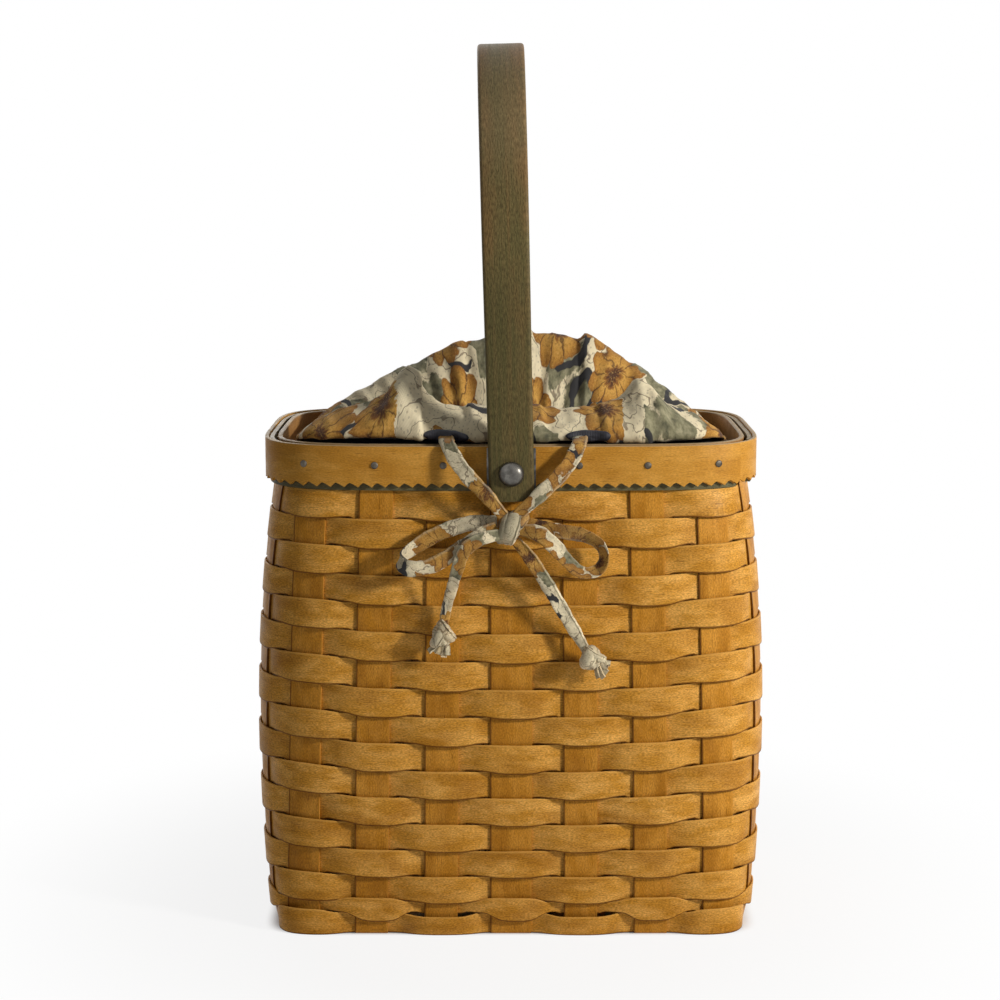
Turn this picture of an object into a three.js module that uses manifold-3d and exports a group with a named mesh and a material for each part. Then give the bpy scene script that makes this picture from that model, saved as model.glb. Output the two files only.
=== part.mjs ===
// A splint tote basket: woven wooden walls, a banded rim, a bent-wood handle that swings on two
// rivets, and a gathered cloth liner whose two ties are knotted in a bow over the front of the rim.
// Millimetres, +Z up, front towards -Y, origin on the table under the middle of the basket.
import * as THREE from "three";
import { mergeVertices } from "three/addons/utils/BufferGeometryUtils.js";
import Module from "manifold-3d";

// Clearances
const fitGap = 0.3; // between pieces that lie against each other
const rowGap = 0.4; // between neighbouring rows of the weave
const flatRun = 0.9; // how far a splint runs on flat past the edge of the one it crosses
const rivetPlay = 0.2; // round the shanks of the rivets
const tackPlay = 0.15; // round the shanks of the tacks
const cutPast = 2; // how far a cutter runs past a thin piece that it drills
const linerRoom = 4.5; // from the middle of the wall to the liner's outside, below the rim
const linerRimRoom = 8; // the same at the rim, clear of the inner band and the rivets' ends

// Basket body, measured on the middle surface of its wall
const bodyHeight = 222; // table to the top of the rim
const baseWidth = 215;
const baseDepth = 122;
const topWidth = 210;
const topDepth = 128.5;
const sideSwell = 7; // how far each end bellies out
const frontSwell = 8.5; // how far the front and the back belly out
const baseSquareness = 10; // exponent of the plan's rounded rectangle: higher is squarer
const midSquareness = 4.4;
const topSquareness = 6;
const squarenessFade = 32; // height over which the square base turns rounder
const cornerRise = 3; // how far the rows climb at mid height, on the front's outermost uprights
const endRise = 2.4; // the same on the uprights of the ends

// Upright splints, each bent into a U that runs down one wall, under the floor and up the other
const crossCount = 7; // front to back
const longCount = 4; // end to end
const splintWidth = 14.8;
const centreWidth = 18.4; // the middle front-to-back splint, behind the handle
const splintThick = 1;
const crossMarginBase = 13.6; // from the end of the wall to the middle of the outermost upright
const crossMarginTop = 17.4;
const longMarginBase = 16; // the same on the ends, from the front or the back of the wall
const longMarginTop = 22.25;
const splintBend = 3; // radius of the bend at the floor
const splintTopDrop = 0.8; // below the top of the rim

// Weavers, one hoop per row
const rowPitch = 12.4; // of the full rows, as many as there is height for
const narrowRows = 2; // crowded at the floor, sharing the height that is left
const narrowLeast = 4; // the least height of such a row
const weaverThick = 0.9;

// Rim bands
const bandHeight = 18; // to the tips of its teeth
const bandThick = 1.8;
const toothPitch = 5.8;
const toothDepth = 2.2;
const trimReach = 19.6; // the stained trim band's lower edge, below the top of the rim
const trimTopDrop = 0.6;
const trimThick = 1.2;
const innerHeight = 19;
const innerThick = 2.2;

// Handle and its rivets
const handleTop = 394; // table to the top of the arch
const handleThick = 5.2;
const handleFootWidth = 19.2;
const handleTopWidth = 20.8;
const handleChamfer = 1.2;
const handleTail = 12; // below the rivet
const archRise = 105; // height of the curved part of the arch, on its middle line
const pivotDrop = 11; // rivet below the top of the rim
const handleLean = 1.45; // degrees to the left, as it was left standing
const plateWidth = 21;
const plateThick = 1;
const plateAbove = 10.3; // wear plate above the rivet
const plateBelow = 11.6;
const rivetHead = 10.8;
const rivetDome = 3.4;
const rivetShank = 5;
const washerSize = 12;
const washerThick = 1;
const clinchSize = 8;
const clinchHeight = 1.2;

// Tacks, one through each front and back upright
const tackHead = 2.9;
const tackDome = 0.7;
const tackShank = 1.2;
const tackDrop = 8.4; // below the top of the rim

// Liner
const clothThick = 1.5;
const linerFloor = 3; // its underside above the table
const linerFoot = 6; // how far its floor's edge is drawn in
const linerFootRise = 8;
const linerRimDrop = 7; // below the top of the rim, where it leaves the bands
const mouthHalfLength = 62; // the gathered mouth
const mouthHalfWidth = 16;
const mouthForward = 11; // towards the front
const mouthDrop = 8; // below the top of the rim
const crestShare = 0.42; // where the crest stands between rim and mouth
const frontRoll = 13; // crest above the rim along the front
const leftPeak = { height: 17, at: -43, spread: 16 };
const rightPeak = { height: 9, at: 55, spread: 15 };
const backRidge = { height: 39, at: 8, spread: 67, power: 2.6 };
const endDip = 4; // crest below the rim at the two ends
const endTurn = 0.45; // share of the half depth at which the ends' dip starts to rise
// Rings beside the crest: share of the way there, share of the crest's height, drop below that
const shoulder = { way: 0.4, lift: 0.62, drop: 1 }; // from rim to crest
const neck = { way: 0.5, lift: 0.6, drop: 3 }; // from crest to mouth
const mouthLift = 0.1; // share of the crest's height that the mouth follows

// Ties of the liner
const tieWidth = 7.5;
const tieThick = 1.5;
const tieFlat = 0.7; // share of its width that is flat, between the thinned edges
const knot = { x: -0.6, y: -74.2, z: 188.2, halfWidth: 4.8, halfDepth: 4.8, halfHeight: 6.4 };

// Facets
const roundSides = 14;
const tackSides = 6;
const rivetDomeSteps = 4;
const tackDomeSteps = 2;
const knotSides = 12;
const knotRings = 8;
const wallSteps = 11; // along an upright
const wallGrading = 1.3; // packs those steps towards the floor, where the wall turns fastest
const bendSteps = 3;
const bandSteps = 60; // round a plain hoop
const cornerPacking = 40; // packs a plain hoop's steps into its corners: millimetres per radian
const stripSteps = 2; // between two points of a tie
const archSteps = 20;
const linerSteps = 40;
const ringSamples = 720;

const wasm = await Module();
wasm.setup();

const vector = (x, y, z) => new THREE.Vector3(x, y, z);
const mix = THREE.MathUtils.lerp;
const range = (count) => Array.from({ length: count }, (_, i) => i);

// Heights that follow from the sizes above
const weaveTop = bodyHeight - trimReach - rowGap;
const lowLevel = splintThick / 2;
const highLevel = lowLevel + splintThick + fitGap;
const weaveFoot = highLevel + splintBend;
const pivotHeight = bodyHeight - pivotDrop;
const weaveHeight = weaveTop - weaveFoot;
const fullRows = Math.floor((weaveHeight - narrowRows * narrowLeast) / rowPitch);
const narrowPitch = (weaveHeight - fullRows * rowPitch) / narrowRows;

// Pitches of the uprights that follow from the sizes above
const pitch = (length, margin, count) => (length - 2 * margin) / (count - 1);
const crossPitchBase = pitch(baseWidth, crossMarginBase, crossCount);
const crossPitchTop = pitch(topWidth, crossMarginTop, crossCount);
const longPitchBase = pitch(baseDepth, longMarginBase, longCount);
const longPitchTop = pitch(topDepth, longMarginTop, longCount);

// Solids
function closedBody(points, faces) {
  let volume = 0;
  for (const [i, j, k] of faces) {
    volume += points[i].dot(points[j].clone().cross(points[k]));
  }
  const ordered = volume < 0 ? faces.map(([i, j, k]) => [i, k, j]) : faces;
  const body = new THREE.BufferGeometry().setFromPoints(points);
  body.setIndex(ordered.flat());
  return body;
}

// A body through a row of sections that all have the same number of corners.
function sweep(sections, isHoop = false) {
  const corners = sections[0].length;
  const steps = isHoop ? sections.length : sections.length - 1;
  const faces = [];
  for (const i of range(steps)) {
    const near = i * corners;
    const far = ((i + 1) % sections.length) * corners;
    for (const k of range(corners)) {
      const next = (k + 1) % corners;
      faces.push([near + k, near + next, far + next], [near + k, far + next, far + k]);
    }
  }
  if (!isHoop) {
    const last = (sections.length - 1) * corners;
    for (const k of range(corners - 2)) {
      faces.push([0, k + 2, k + 1], [last, last + k + 1, last + k + 2]);
    }
  }
  return closedBody(sections.flat(), faces);
}

function toManifold(geometry) {
  const bare = geometry.clone();
  bare.deleteAttribute("normal");
  bare.deleteAttribute("uv");
  const merged = mergeVertices(bare, 1e-4);
  const vertProperties = new Float32Array(merged.attributes.position.array);
  const triVerts = new Uint32Array(merged.index.array);
  return new wasm.Manifold(new wasm.Mesh({ numProp: 3, vertProperties, triVerts }));
}

function drill(geometry, cutters) {
  let solid = toManifold(geometry);
  for (const cutter of cutters) {
    solid = solid.subtract(toManifold(cutter));
  }
  const mesh = solid.getMesh();
  const result = new THREE.BufferGeometry();
  result.setAttribute("position", new THREE.BufferAttribute(new Float32Array(mesh.vertProperties), 3));
  result.setIndex(Array.from(mesh.triVerts));
  return result;
}

// A round cutter whose middle is at a point and whose axis follows a direction.
function roundCutter(middle, direction, diameter, length, sides) {
  const cutter = new THREE.CylinderGeometry(diameter / 2, diameter / 2, length, sides);
  const turn = new THREE.Quaternion().setFromUnitVectors(vector(0, 1, 0), direction);
  cutter.applyQuaternion(turn);
  cutter.translate(middle.x, middle.y, middle.z);
  return cutter;
}

// A turned piece about the Y axis, from [radius, y] pairs that start and end on the axis.
function turned(profile, sides) {
  const points = profile.map(([radius, y]) => new THREE.Vector2(radius, y));
  return new THREE.LatheGeometry(points, sides);
}

// Profile of a dome that stands up from y = base towards -Y.
function dome(diameter, height, base, steps) {
  return range(steps + 1).map((i) => {
    const angle = (i / steps) * (Math.PI / 2);
    return [(diameter / 2) * Math.sin(angle), base - height * Math.cos(angle)];
  });
}

// Wall: half width, half depth and squareness of its middle surface at a height
function wallSize(z) {
  const t = Math.min(1, z / weaveTop);
  const swell = 4 * t * (1 - t);
  const nearBase = Math.exp(-z / squarenessFade);
  return {
    a: mix(baseWidth, topWidth, t) / 2 + sideSwell * swell,
    b: mix(baseDepth, topDepth, t) / 2 + frontSwell * swell,
    n: mix(midSquareness, topSquareness, t * t) + (baseSquareness - midSquareness) * nearBase,
  };
}

// Point of the wall with its outward normal and its direction along the wall, anticlockwise.
function wallFrame(x, y, z) {
  const { a, b, n } = wallSize(z);
  const slopeX = (Math.sign(x) * Math.abs(x / a) ** (n - 1)) / a;
  const slopeY = (Math.sign(y) * Math.abs(y / b) ** (n - 1)) / b;
  const normal = vector(slopeX, slopeY, 0).normalize();
  return { point: vector(x, y, z), normal, along: vector(-normal.y, normal.x, 0) };
}

function frontFrame(x, side, z) {
  const { a, b, n } = wallSize(z);
  return wallFrame(x, side * b * (1 - Math.abs(x / a) ** n) ** (1 / n), z);
}

function endFrame(y, side, z) {
  const { a, b, n } = wallSize(z);
  return wallFrame(side * a * (1 - Math.abs(y / b) ** n) ** (1 / n), y, z);
}

// Frames round the wall at a height, anticlockwise from +X: evenly spaced, or packed into the
// corners by counting each radian of turning as so many millimetres.
function wallRing(z, count, packing = 0) {
  const { a, b, n } = wallSize(z);
  const fine = range(ringSamples + 1).map((i) => {
    const angle = (2 * Math.PI * i) / ringSamples;
    const reach = (Math.abs(Math.cos(angle) / a) ** n + Math.abs(Math.sin(angle) / b) ** n) ** (-1 / n);
    return wallFrame(reach * Math.cos(angle), reach * Math.sin(angle), z);
  });
  const passed = [0];
  for (const i of range(ringSamples)) {
    const step = fine[i].point.distanceTo(fine[i + 1].point);
    passed.push(passed[i] + step + packing * fine[i].normal.angleTo(fine[i + 1].normal));
  }
  let at = 0;
  return range(count).map((i) => {
    const wanted = (passed[ringSamples] * i) / count;
    while (passed[at + 1] < wanted) {
      at += 1;
    }
    const share = (wanted - passed[at]) / (passed[at + 1] - passed[at]);
    const { x, y } = fine[at].point.clone().lerp(fine[at + 1].point, share);
    return wallFrame(x, y, z);
  });
}

const pushed = (frame, distance) => frame.point.clone().addScaledVector(frame.normal, distance);
const crossX = (i, z) => i * mix(crossPitchBase, crossPitchTop, Math.min(1, z / weaveTop));
const longY = (j, z) => j * mix(longPitchBase, longPitchTop, Math.min(1, z / weaveTop));
const crossPlaces = range(crossCount).map((i) => i - (crossCount - 1) / 2);
const longPlaces = range(longCount).map((j) => j - (longCount - 1) / 2);
const isRiveted = (i) => i === 0; // the middle splint carries the handle's rivets, the others tacks
const crossWidth = (i) => (isRiveted(i) ? centreWidth : splintWidth);

// The uprights in the order that a weaver passes them, anticlockwise from the front left.
const outermost = crossPlaces[crossCount - 1];
const sideRise = (i) => cornerRise * Math.abs(i / outermost) ** 3;
const frontUprights = crossPlaces.map((i) => ({
  frame: (z) => frontFrame(crossX(i, z), -1, z),
  width: crossWidth(i),
  rise: sideRise(i),
  isTacked: !isRiveted(i),
}));
const rightUprights = longPlaces.map((j) => ({
  frame: (z) => endFrame(longY(j, z), 1, z),
  width: splintWidth,
  rise: endRise,
}));
const backUprights = crossPlaces.toReversed().map((i) => ({
  frame: (z) => frontFrame(crossX(i, z), 1, z),
  width: crossWidth(i),
  rise: sideRise(i),
  isTacked: !isRiveted(i),
}));
const leftUprights = longPlaces.toReversed().map((j) => ({
  frame: (z) => endFrame(longY(j, z), -1, z),
  width: splintWidth,
  rise: endRise,
}));
const uprights = [...frontUprights, ...rightUprights, ...backUprights, ...leftUprights];

// How far the flat uprights' edges stand out from the curved wall at the rim.
const rimRing = wallRing(bodyHeight, ringSamples);
function edgeStandOff({ frame, width }) {
  const { point, along } = frame(bodyHeight);
  const edges = [-width / 2, width / 2].map((side) => point.clone().addScaledVector(along, side));
  const reach = edges.map((edge) => Math.min(...rimRing.map((near) => near.point.distanceTo(edge))));
  return Math.max(...reach);
}
const edgeRoom = Math.max(...uprights.map(edgeStandOff));

// Layers of the rim, as distances outward from the wall's middle surface
const trimInside = splintThick / 2 + edgeRoom + fitGap;
const trimOutside = trimInside + trimThick;
const bandInside = trimOutside + fitGap;
const bandOutside = bandInside + bandThick;
const plateInside = bandOutside + fitGap;
const plateOutside = plateInside + plateThick;
const legInside = plateOutside + fitGap;
const legOutside = legInside + handleThick;
const headFace = legOutside + fitGap;
const innerOutside = -(splintThick / 2 + fitGap);
const innerInside = innerOutside - innerThick;
const washerOutside = innerInside - fitGap;
const washerInside = washerOutside - washerThick;
const clinchFace = washerInside - fitGap;
const wallAtRivet = topDepth / 2;

// Uprights
function splintSections(stations, width) {
  return stations.map(({ point, across }, i) => {
    const before = stations[Math.max(0, i - 1)].point;
    const after = stations[Math.min(stations.length - 1, i + 1)].point;
    const run = after.clone().sub(before).normalize();
    const side = across.clone().addScaledVector(run, -across.dot(run)).normalize();
    const out = run.clone().cross(side);
    const corner = (u, v) =>
      point.clone().addScaledVector(side, (u * width) / 2).addScaledVector(out, (v * splintThick) / 2);
    return [corner(-1, -1), corner(1, -1), corner(1, 1), corner(-1, 1)];
  });
}

// Down one wall to the floor's bend. across is the splint's width direction on the floor.
function wallStations(frame, level, across) {
  const bendTop = level + splintBend;
  const heights = [bodyHeight - splintTopDrop];
  for (const i of range(wallSteps + 1)) {
    heights.push(mix(bendTop, weaveTop, (1 - i / wallSteps) ** wallGrading));
  }
  const down = heights.map((z) => {
    const { point, along } = frame(z);
    return { point, across: along.dot(across) < 0 ? along.negate() : along };
  });
  const foot = frame(bendTop);
  const inward = foot.normal.clone().negate();
  inward.addScaledVector(across, -inward.dot(across)).normalize();
  for (const i of range(bendSteps)) {
    const angle = ((i + 1) / bendSteps) * (Math.PI / 2);
    const point = foot.point.clone().addScaledVector(inward, splintBend * (1 - Math.cos(angle)));
    point.z -= splintBend * Math.sin(angle);
    down.push({ point, across });
  }
  return down;
}

// Across the floor, over and under the splints that it meets there.
function floorStations(crossings, place, across) {
  return crossings.flatMap(({ at, width, level }) =>
    [-1, 1].map((side) => ({ point: place(at + side * (width / 2 + flatRun), level), across })),
  );
}

const isLow = (crossIndex, longIndex) => (crossIndex + longIndex) % 2 === 0;
const crossLevel = (i, j) => (isLow(i, j) ? lowLevel : highLevel);
const longLevel = (i, j) => (isLow(i, j) ? highLevel : lowLevel);

function crossSplint(index) {
  const i = crossPlaces[index];
  const across = vector(1, 0, 0);
  const x = crossX(i, 0);
  const crossings = longPlaces.map((j, order) => ({
    at: longY(j, 0),
    width: splintWidth,
    level: crossLevel(index, order),
  }));
  const front = wallStations((z) => frontFrame(crossX(i, z), -1, z), crossings[0].level, across);
  const floor = floorStations(crossings, (y, z) => vector(x, y, z), across);
  const back = wallStations((z) => frontFrame(crossX(i, z), 1, z), crossings.at(-1).level, across);
  return sweep(splintSections([...front, ...floor, ...back.toReversed()], crossWidth(i)));
}

function longSplint(index) {
  const j = longPlaces[index];
  const across = vector(0, 1, 0);
  const y = longY(j, 0);
  const crossings = crossPlaces.map((i, order) => ({
    at: crossX(i, 0),
    width: crossWidth(i),
    level: longLevel(order, index),
  }));
  const left = wallStations((z) => endFrame(longY(j, z), -1, z), crossings[0].level, across);
  const floor = floorStations(crossings, (x, z) => vector(x, y, z), across);
  const right = wallStations((z) => endFrame(longY(j, z), 1, z), crossings.at(-1).level, across);
  return sweep(splintSections([...left, ...floor, ...right.toReversed()], splintWidth));
}

// Weavers
const risen = (z, rise) => {
  const t = z / weaveTop;
  return z + rise * 4 * t * (1 - t);
};

function rowTop(row) {
  const full = Math.min(row, fullRows);
  return weaveTop - full * rowPitch - (row - full) * narrowPitch;
}

function weaver(row) {
  const top = rowTop(row);
  const foot = rowTop(row + 1) + rowGap;
  const lift = splintThick / 2 + fitGap + weaverThick / 2;
  const sections = uprights.flatMap(({ frame, width, rise }, order) => {
    const out = (order + row) % 2 === 0 ? lift : -lift;
    const low = frame(risen(foot, rise));
    const high = frame(risen(top, rise));
    return [-1, 1].map((side) => {
      const slide = side * (width / 2 + flatRun);
      const corner = (level, face) =>
        pushed(level, out + (face * weaverThick) / 2).addScaledVector(level.along, slide);
      return [corner(low, -1), corner(low, 1), corner(high, 1), corner(high, -1)];
    });
  });
  return sweep(sections, true);
}

// Rim bands: hoops between two distances from the wall's middle surface
function hoop(inside, outside, top, bottoms, packing = 0) {
  const sections = wallRing(bodyHeight, bottoms.length, packing).map((frame, i) => {
    const corner = (distance, z) => pushed(frame, distance).setZ(z);
    const bottom = bottoms[i];
    return [corner(inside, bottom), corner(outside, bottom), corner(outside, top), corner(inside, top)];
  });
  return sweep(sections, true);
}

function toothedEdge() {
  const ringOfFrames = wallRing(bodyHeight, bandSteps);
  const length = ringOfFrames.reduce((sum, frame, i) => {
    const next = ringOfFrames[(i + 1) % bandSteps];
    return sum + pushed(frame, bandOutside).distanceTo(pushed(next, bandOutside));
  }, 0);
  const teeth = Math.round(length / toothPitch);
  const tip = bodyHeight - bandHeight;
  return range(2 * teeth).map((i) => (i % 2 === 0 ? tip : tip + toothDepth));
}

// Where the fasteners pass through the rim, with the direction that each one points out
const tackHeight = bodyHeight - tackDrop;
const rimCut = 2 * (bandOutside - clinchFace); // length of a cutter through the rim
const tackStart = -(splintThick + fitGap) / 2; // a tack's hole starts behind its upright
const rivetHole = rivetShank + 2 * rivetPlay;

function tacked(side) {
  const chosen = side.filter(({ isTacked }) => isTacked);
  return chosen.map(({ frame }) => frame(tackHeight));
}

function tackCutter({ point, normal }) {
  const middle = point.clone().addScaledVector(normal, tackStart + rimCut / 2);
  return roundCutter(middle, normal, tackShank + 2 * tackPlay, rimCut, tackSides);
}

function rivetCutter(sign) {
  const middle = vector(0, sign * wallAtRivet, pivotHeight);
  return roundCutter(middle, vector(0, 1, 0), rivetHole, rimCut, roundSides);
}

const tackFrames = { front: tacked(frontUprights), back: tacked(backUprights) };
const tackCutters = [...tackFrames.front, ...tackFrames.back].map(tackCutter);
const rivetCutters = [-1, 1].map(rivetCutter);

const plainEdge = (z) => range(bandSteps).map(() => z);

function outerBand() {
  const band = hoop(bandInside, bandOutside, bodyHeight, toothedEdge());
  return drill(band, [...tackCutters, ...rivetCutters]);
}

function trimBand() {
  const edge = plainEdge(bodyHeight - trimReach);
  const band = hoop(trimInside, trimOutside, bodyHeight - trimTopDrop, edge, cornerPacking);
  return drill(band, [...tackCutters, ...rivetCutters]);
}

function innerBand() {
  const edge = plainEdge(bodyHeight - innerHeight);
  const band = hoop(innerInside, innerOutside, bodyHeight, edge, cornerPacking);
  return drill(band, rivetCutters);
}

// Handle, built about its rivets' axis
function handleArch() {
  const reach = wallAtRivet + legInside + handleThick / 2;
  const spring = handleTop - handleThick / 2 - archRise - pivotHeight;
  const path = [{ point: vector(0, -reach, -handleTail), out: vector(0, -1, 0) }];
  for (const i of range(archSteps + 1)) {
    const angle = Math.PI * (1 - i / archSteps);
    const out = vector(0, Math.cos(angle) / reach, Math.sin(angle) / archRise).normalize();
    path.push({ point: vector(0, reach * Math.cos(angle), spring + archRise * Math.sin(angle)), out });
  }
  path.push({ point: vector(0, reach, -handleTail), out: vector(0, 1, 0) });
  const height = spring + archRise + handleTail;
  const sections = path.map(({ point, out }) => {
    const half = mix(handleFootWidth, handleTopWidth, (point.z + handleTail) / height) / 2;
    const deep = handleThick / 2;
    const inX = half - handleChamfer;
    const inY = deep - handleChamfer;
    const outline = [
      [-inX, -deep], [inX, -deep], [half, -inY], [half, inY],
      [inX, deep], [-inX, deep], [-half, inY], [-half, -inY],
    ];
    return outline.map(([x, depth]) => point.clone().addScaledVector(out, depth).add(vector(x, 0, 0)));
  });
  const through = 2 * (reach + handleThick);
  const holes = roundCutter(vector(0, 0, 0), vector(0, 1, 0), rivetHole, through, roundSides);
  return drill(sweep(sections), [holes]);
}

// Rivet: domed head outside the handle, shank through the rim, clinched end inside
function rivet() {
  const head = -(wallAtRivet + headFace);
  const end = -(wallAtRivet + clinchFace);
  return turned([
    ...dome(rivetHead, rivetDome, head, rivetDomeSteps),
    [rivetShank / 2, head],
    [rivetShank / 2, end],
    [clinchSize / 2, end],
    [clinchSize / 2, end + clinchHeight],
    [0, end + clinchHeight],
  ], roundSides);
}

function washer() {
  const bore = rivetShank / 2 + rivetPlay;
  const outer = -(wallAtRivet + washerOutside);
  const inner = -(wallAtRivet + washerInside);
  return turned([
    [bore, outer], [washerSize / 2, outer], [washerSize / 2, inner], [bore, inner], [bore, outer],
  ], roundSides);
}

function wearPlate() {
  const height = plateAbove + plateBelow;
  const plate = new THREE.BoxGeometry(plateWidth, plateThick, height);
  const middle = -(wallAtRivet + (plateInside + plateOutside) / 2);
  plate.translate(0, middle, (plateAbove - plateBelow) / 2);
  const through = plateThick + 2 * cutPast;
  const hole = roundCutter(vector(0, middle, 0), vector(0, 1, 0), rivetHole, through, roundSides);
  return drill(plate, [hole]);
}

// Tack, pointing in along +Y from the rim band's outside at y = 0
function tack() {
  const length = bandOutside + splintThick / 2;
  return turned([
    ...dome(tackHead, tackDome, -fitGap, tackDomeSteps),
    [tackShank / 2, -fitGap],
    [tackShank / 2, length - tackShank],
    [0, length],
  ], tackSides);
}

// Liner: a cloth bag up the inside of the walls, rolled over above the rim and drawn in to its mouth
function bump({ height, at, spread, power = 2 }, x) {
  return height * Math.exp(-(Math.abs((x - at) / spread) ** power));
}

function crestHeight(x, facing) {
  const front = frontRoll + bump(leftPeak, x) + bump(rightPeak, x);
  const towards = THREE.MathUtils.smoothstep(Math.abs(facing), endTurn, 1);
  return mix(-endDip, facing < 0 ? front : bump(backRidge, x), towards);
}

function linerRings() {
  const floorRing = wallRing(linerFloor + linerFootRise, linerSteps);
  const wallHeights = [linerFloor + linerFootRise, bodyHeight / 2, weaveTop];
  const rings = [
    floorRing.map((frame) => pushed(frame, -linerRoom - linerFoot).setZ(linerFloor)),
    ...wallHeights.map((z) => wallRing(z, linerSteps).map((frame) => pushed(frame, -linerRoom))),
  ];
  const rimFrames = wallRing(bodyHeight, linerSteps);
  const edge = rimFrames.map((frame) => pushed(frame, -linerRimRoom));
  const halfWidth = topWidth / 2 - linerRimRoom;
  const halfDepth = topDepth / 2 - linerRimRoom;
  const mouth = edge.map(({ x, y }) =>
    vector((x / halfWidth) * mouthHalfLength, (y / halfDepth) * mouthHalfWidth - mouthForward, 0));
  const crest = edge.map((point, i) => point.clone().lerp(mouth[i], crestShare));
  const height = crest.map(({ x }, i) => crestHeight(x, edge[i].y / halfDepth));
  const raised = (points, rise) =>
    points.map((point, i) => point.clone().setZ(bodyHeight + rise(height[i])));
  const between = (near, far, share) => near.map((point, i) => point.clone().lerp(far[i], share));
  rings.push(
    raised(edge, () => -linerRimDrop),
    raised(between(edge, crest, shoulder.way), (h) => shoulder.lift * h - shoulder.drop),
    raised(crest, (h) => h),
    raised(between(crest, mouth, neck.way), (h) => neck.lift * h - neck.drop),
    raised(mouth, (h) => mouthLift * h - mouthDrop),
  );
  return rings;
}

// The inside of the cloth: each point moved in by the cloth's thickness.
function lining(rings) {
  return rings.map((points, level) => points.map((point, i) => {
    const round = points[(i + 1) % linerSteps].clone().sub(points[(i + linerSteps - 1) % linerSteps]);
    const above = rings[Math.min(level + 1, rings.length - 1)][i];
    const below = level === 0 ? vector(0, 0, linerFloor) : rings[level - 1][i];
    const inward = above.clone().sub(below).cross(round).normalize();
    return point.clone().addScaledVector(inward, clothThick);
  }));
}

function liner() {
  const outside = linerRings();
  const inside = lining(outside);
  const layers = [...outside, ...inside.toReversed()];
  const points = layers.flat();
  const faces = [];
  for (const level of range(layers.length - 1)) {
    for (const i of range(linerSteps)) {
      const next = (i + 1) % linerSteps;
      const low = level * linerSteps;
      const high = low + linerSteps;
      faces.push([low + i, low + next, high + next], [low + i, high + next, high + i]);
    }
  }
  const lastRing = (layers.length - 1) * linerSteps;
  const under = points.push(vector(0, 0, linerFloor)) - 1;
  const floor = points.push(vector(0, 0, linerFloor + clothThick)) - 1;
  for (const i of range(linerSteps)) {
    const next = (i + 1) % linerSteps;
    faces.push([under, next, i], [floor, lastRing + i, lastRing + next]);
  }
  return closedBody(points, faces);
}

// Ties: flat strips along points chosen by hand. Each stop is [x, y, z], the strip's width direction
// and, where it isn't a plain strip, its width and thickness there.
function strip(stops) {
  const curve = new THREE.CatmullRomCurve3(stops.map(({ at }) => vector(...at)));
  const steps = stripSteps * (stops.length - 1);
  const sections = range(steps + 1).map((i) => {
    const t = i / steps;
    const from = Math.min(stops.length - 2, Math.floor(i / stripSteps));
    const share = i / stripSteps - from;
    const [near, far] = [stops[from], stops[from + 1]];
    const point = curve.getPoint(t);
    const run = curve.getTangent(t);
    const side = vector(...near.across).lerp(vector(...far.across), share);
    side.addScaledVector(run, -side.dot(run)).normalize();
    const out = run.clone().cross(side);
    const wide = mix(near.wide ?? tieWidth, far.wide ?? tieWidth, share) / 2;
    const thick = mix(near.thick ?? tieThick, far.thick ?? tieThick, share) / 2;
    const outline = [[-1, 0], [-tieFlat, -1], [tieFlat, -1], [1, 0], [tieFlat, 1], [-tieFlat, 1]];
    return outline.map(([u, v]) =>
      point.clone().addScaledVector(side, u * wide).addScaledVector(out, v * thick));
  });
  return sweep(sections);
}

const leftTie = [
  { at: [-28.5, -54, 226.6], across: [1, 0, 0] },
  { at: [-28, -64, 224.6], across: [1, 0, 0] },
  { at: [-27, -71, 222.8], across: [1, 0, 0.2] },
  { at: [-23.4, -74, 216.3], across: [0.85, 0, 0.5] },
  { at: [-17.6, -76.9, 209.3], across: [0.75, 0, 0.66] },
  { at: [-11.7, -78.2, 203.4], across: [0.7, 0, 0.7] },
  { at: [-3.4, -77, 193.2], across: [0.7, 0, 0.7], wide: 5.6 },
];
const rightTie = [
  { at: [30, -54, 226.6], across: [1, 0, 0] },
  { at: [29.6, -64, 224.6], across: [1, 0, 0] },
  { at: [28.8, -71, 222.8], across: [1, 0, -0.2] },
  { at: [25.2, -74.1, 216], across: [0.85, 0, -0.5] },
  { at: [19.2, -77, 209], across: [0.75, 0, -0.66] },
  { at: [12.8, -78.2, 203], across: [0.7, 0, -0.7] },
  { at: [2.2, -77, 193.1], across: [0.7, 0, -0.7], wide: 5.6 },
];
const leftLoop = [
  { at: [-6, -73.4, 190], across: [0.1, 0, 1], wide: 6 },
  { at: [-18, -72.6, 189], across: [0.2, 0, 1] },
  { at: [-32, -73, 184.4], across: [0.35, 0, 1] },
  { at: [-43, -74.8, 178], across: [0.4, 0, 1] },
  { at: [-47.6, -78.8, 174.4], across: [0.4, -0.1, 1] },
  { at: [-44.6, -82.4, 171.6], across: [0.4, -0.1, 1] },
  { at: [-35, -82.2, 172.2], across: [0.3, 0, 1] },
  { at: [-22, -80.6, 179.3], across: [-0.3, 0, 1] },
  { at: [-12, -79, 185.6], across: [-0.4, 0, 1] },
  { at: [-6.2, -78, 188.4], across: [-0.2, 0, 1], wide: 6 },
];
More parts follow.
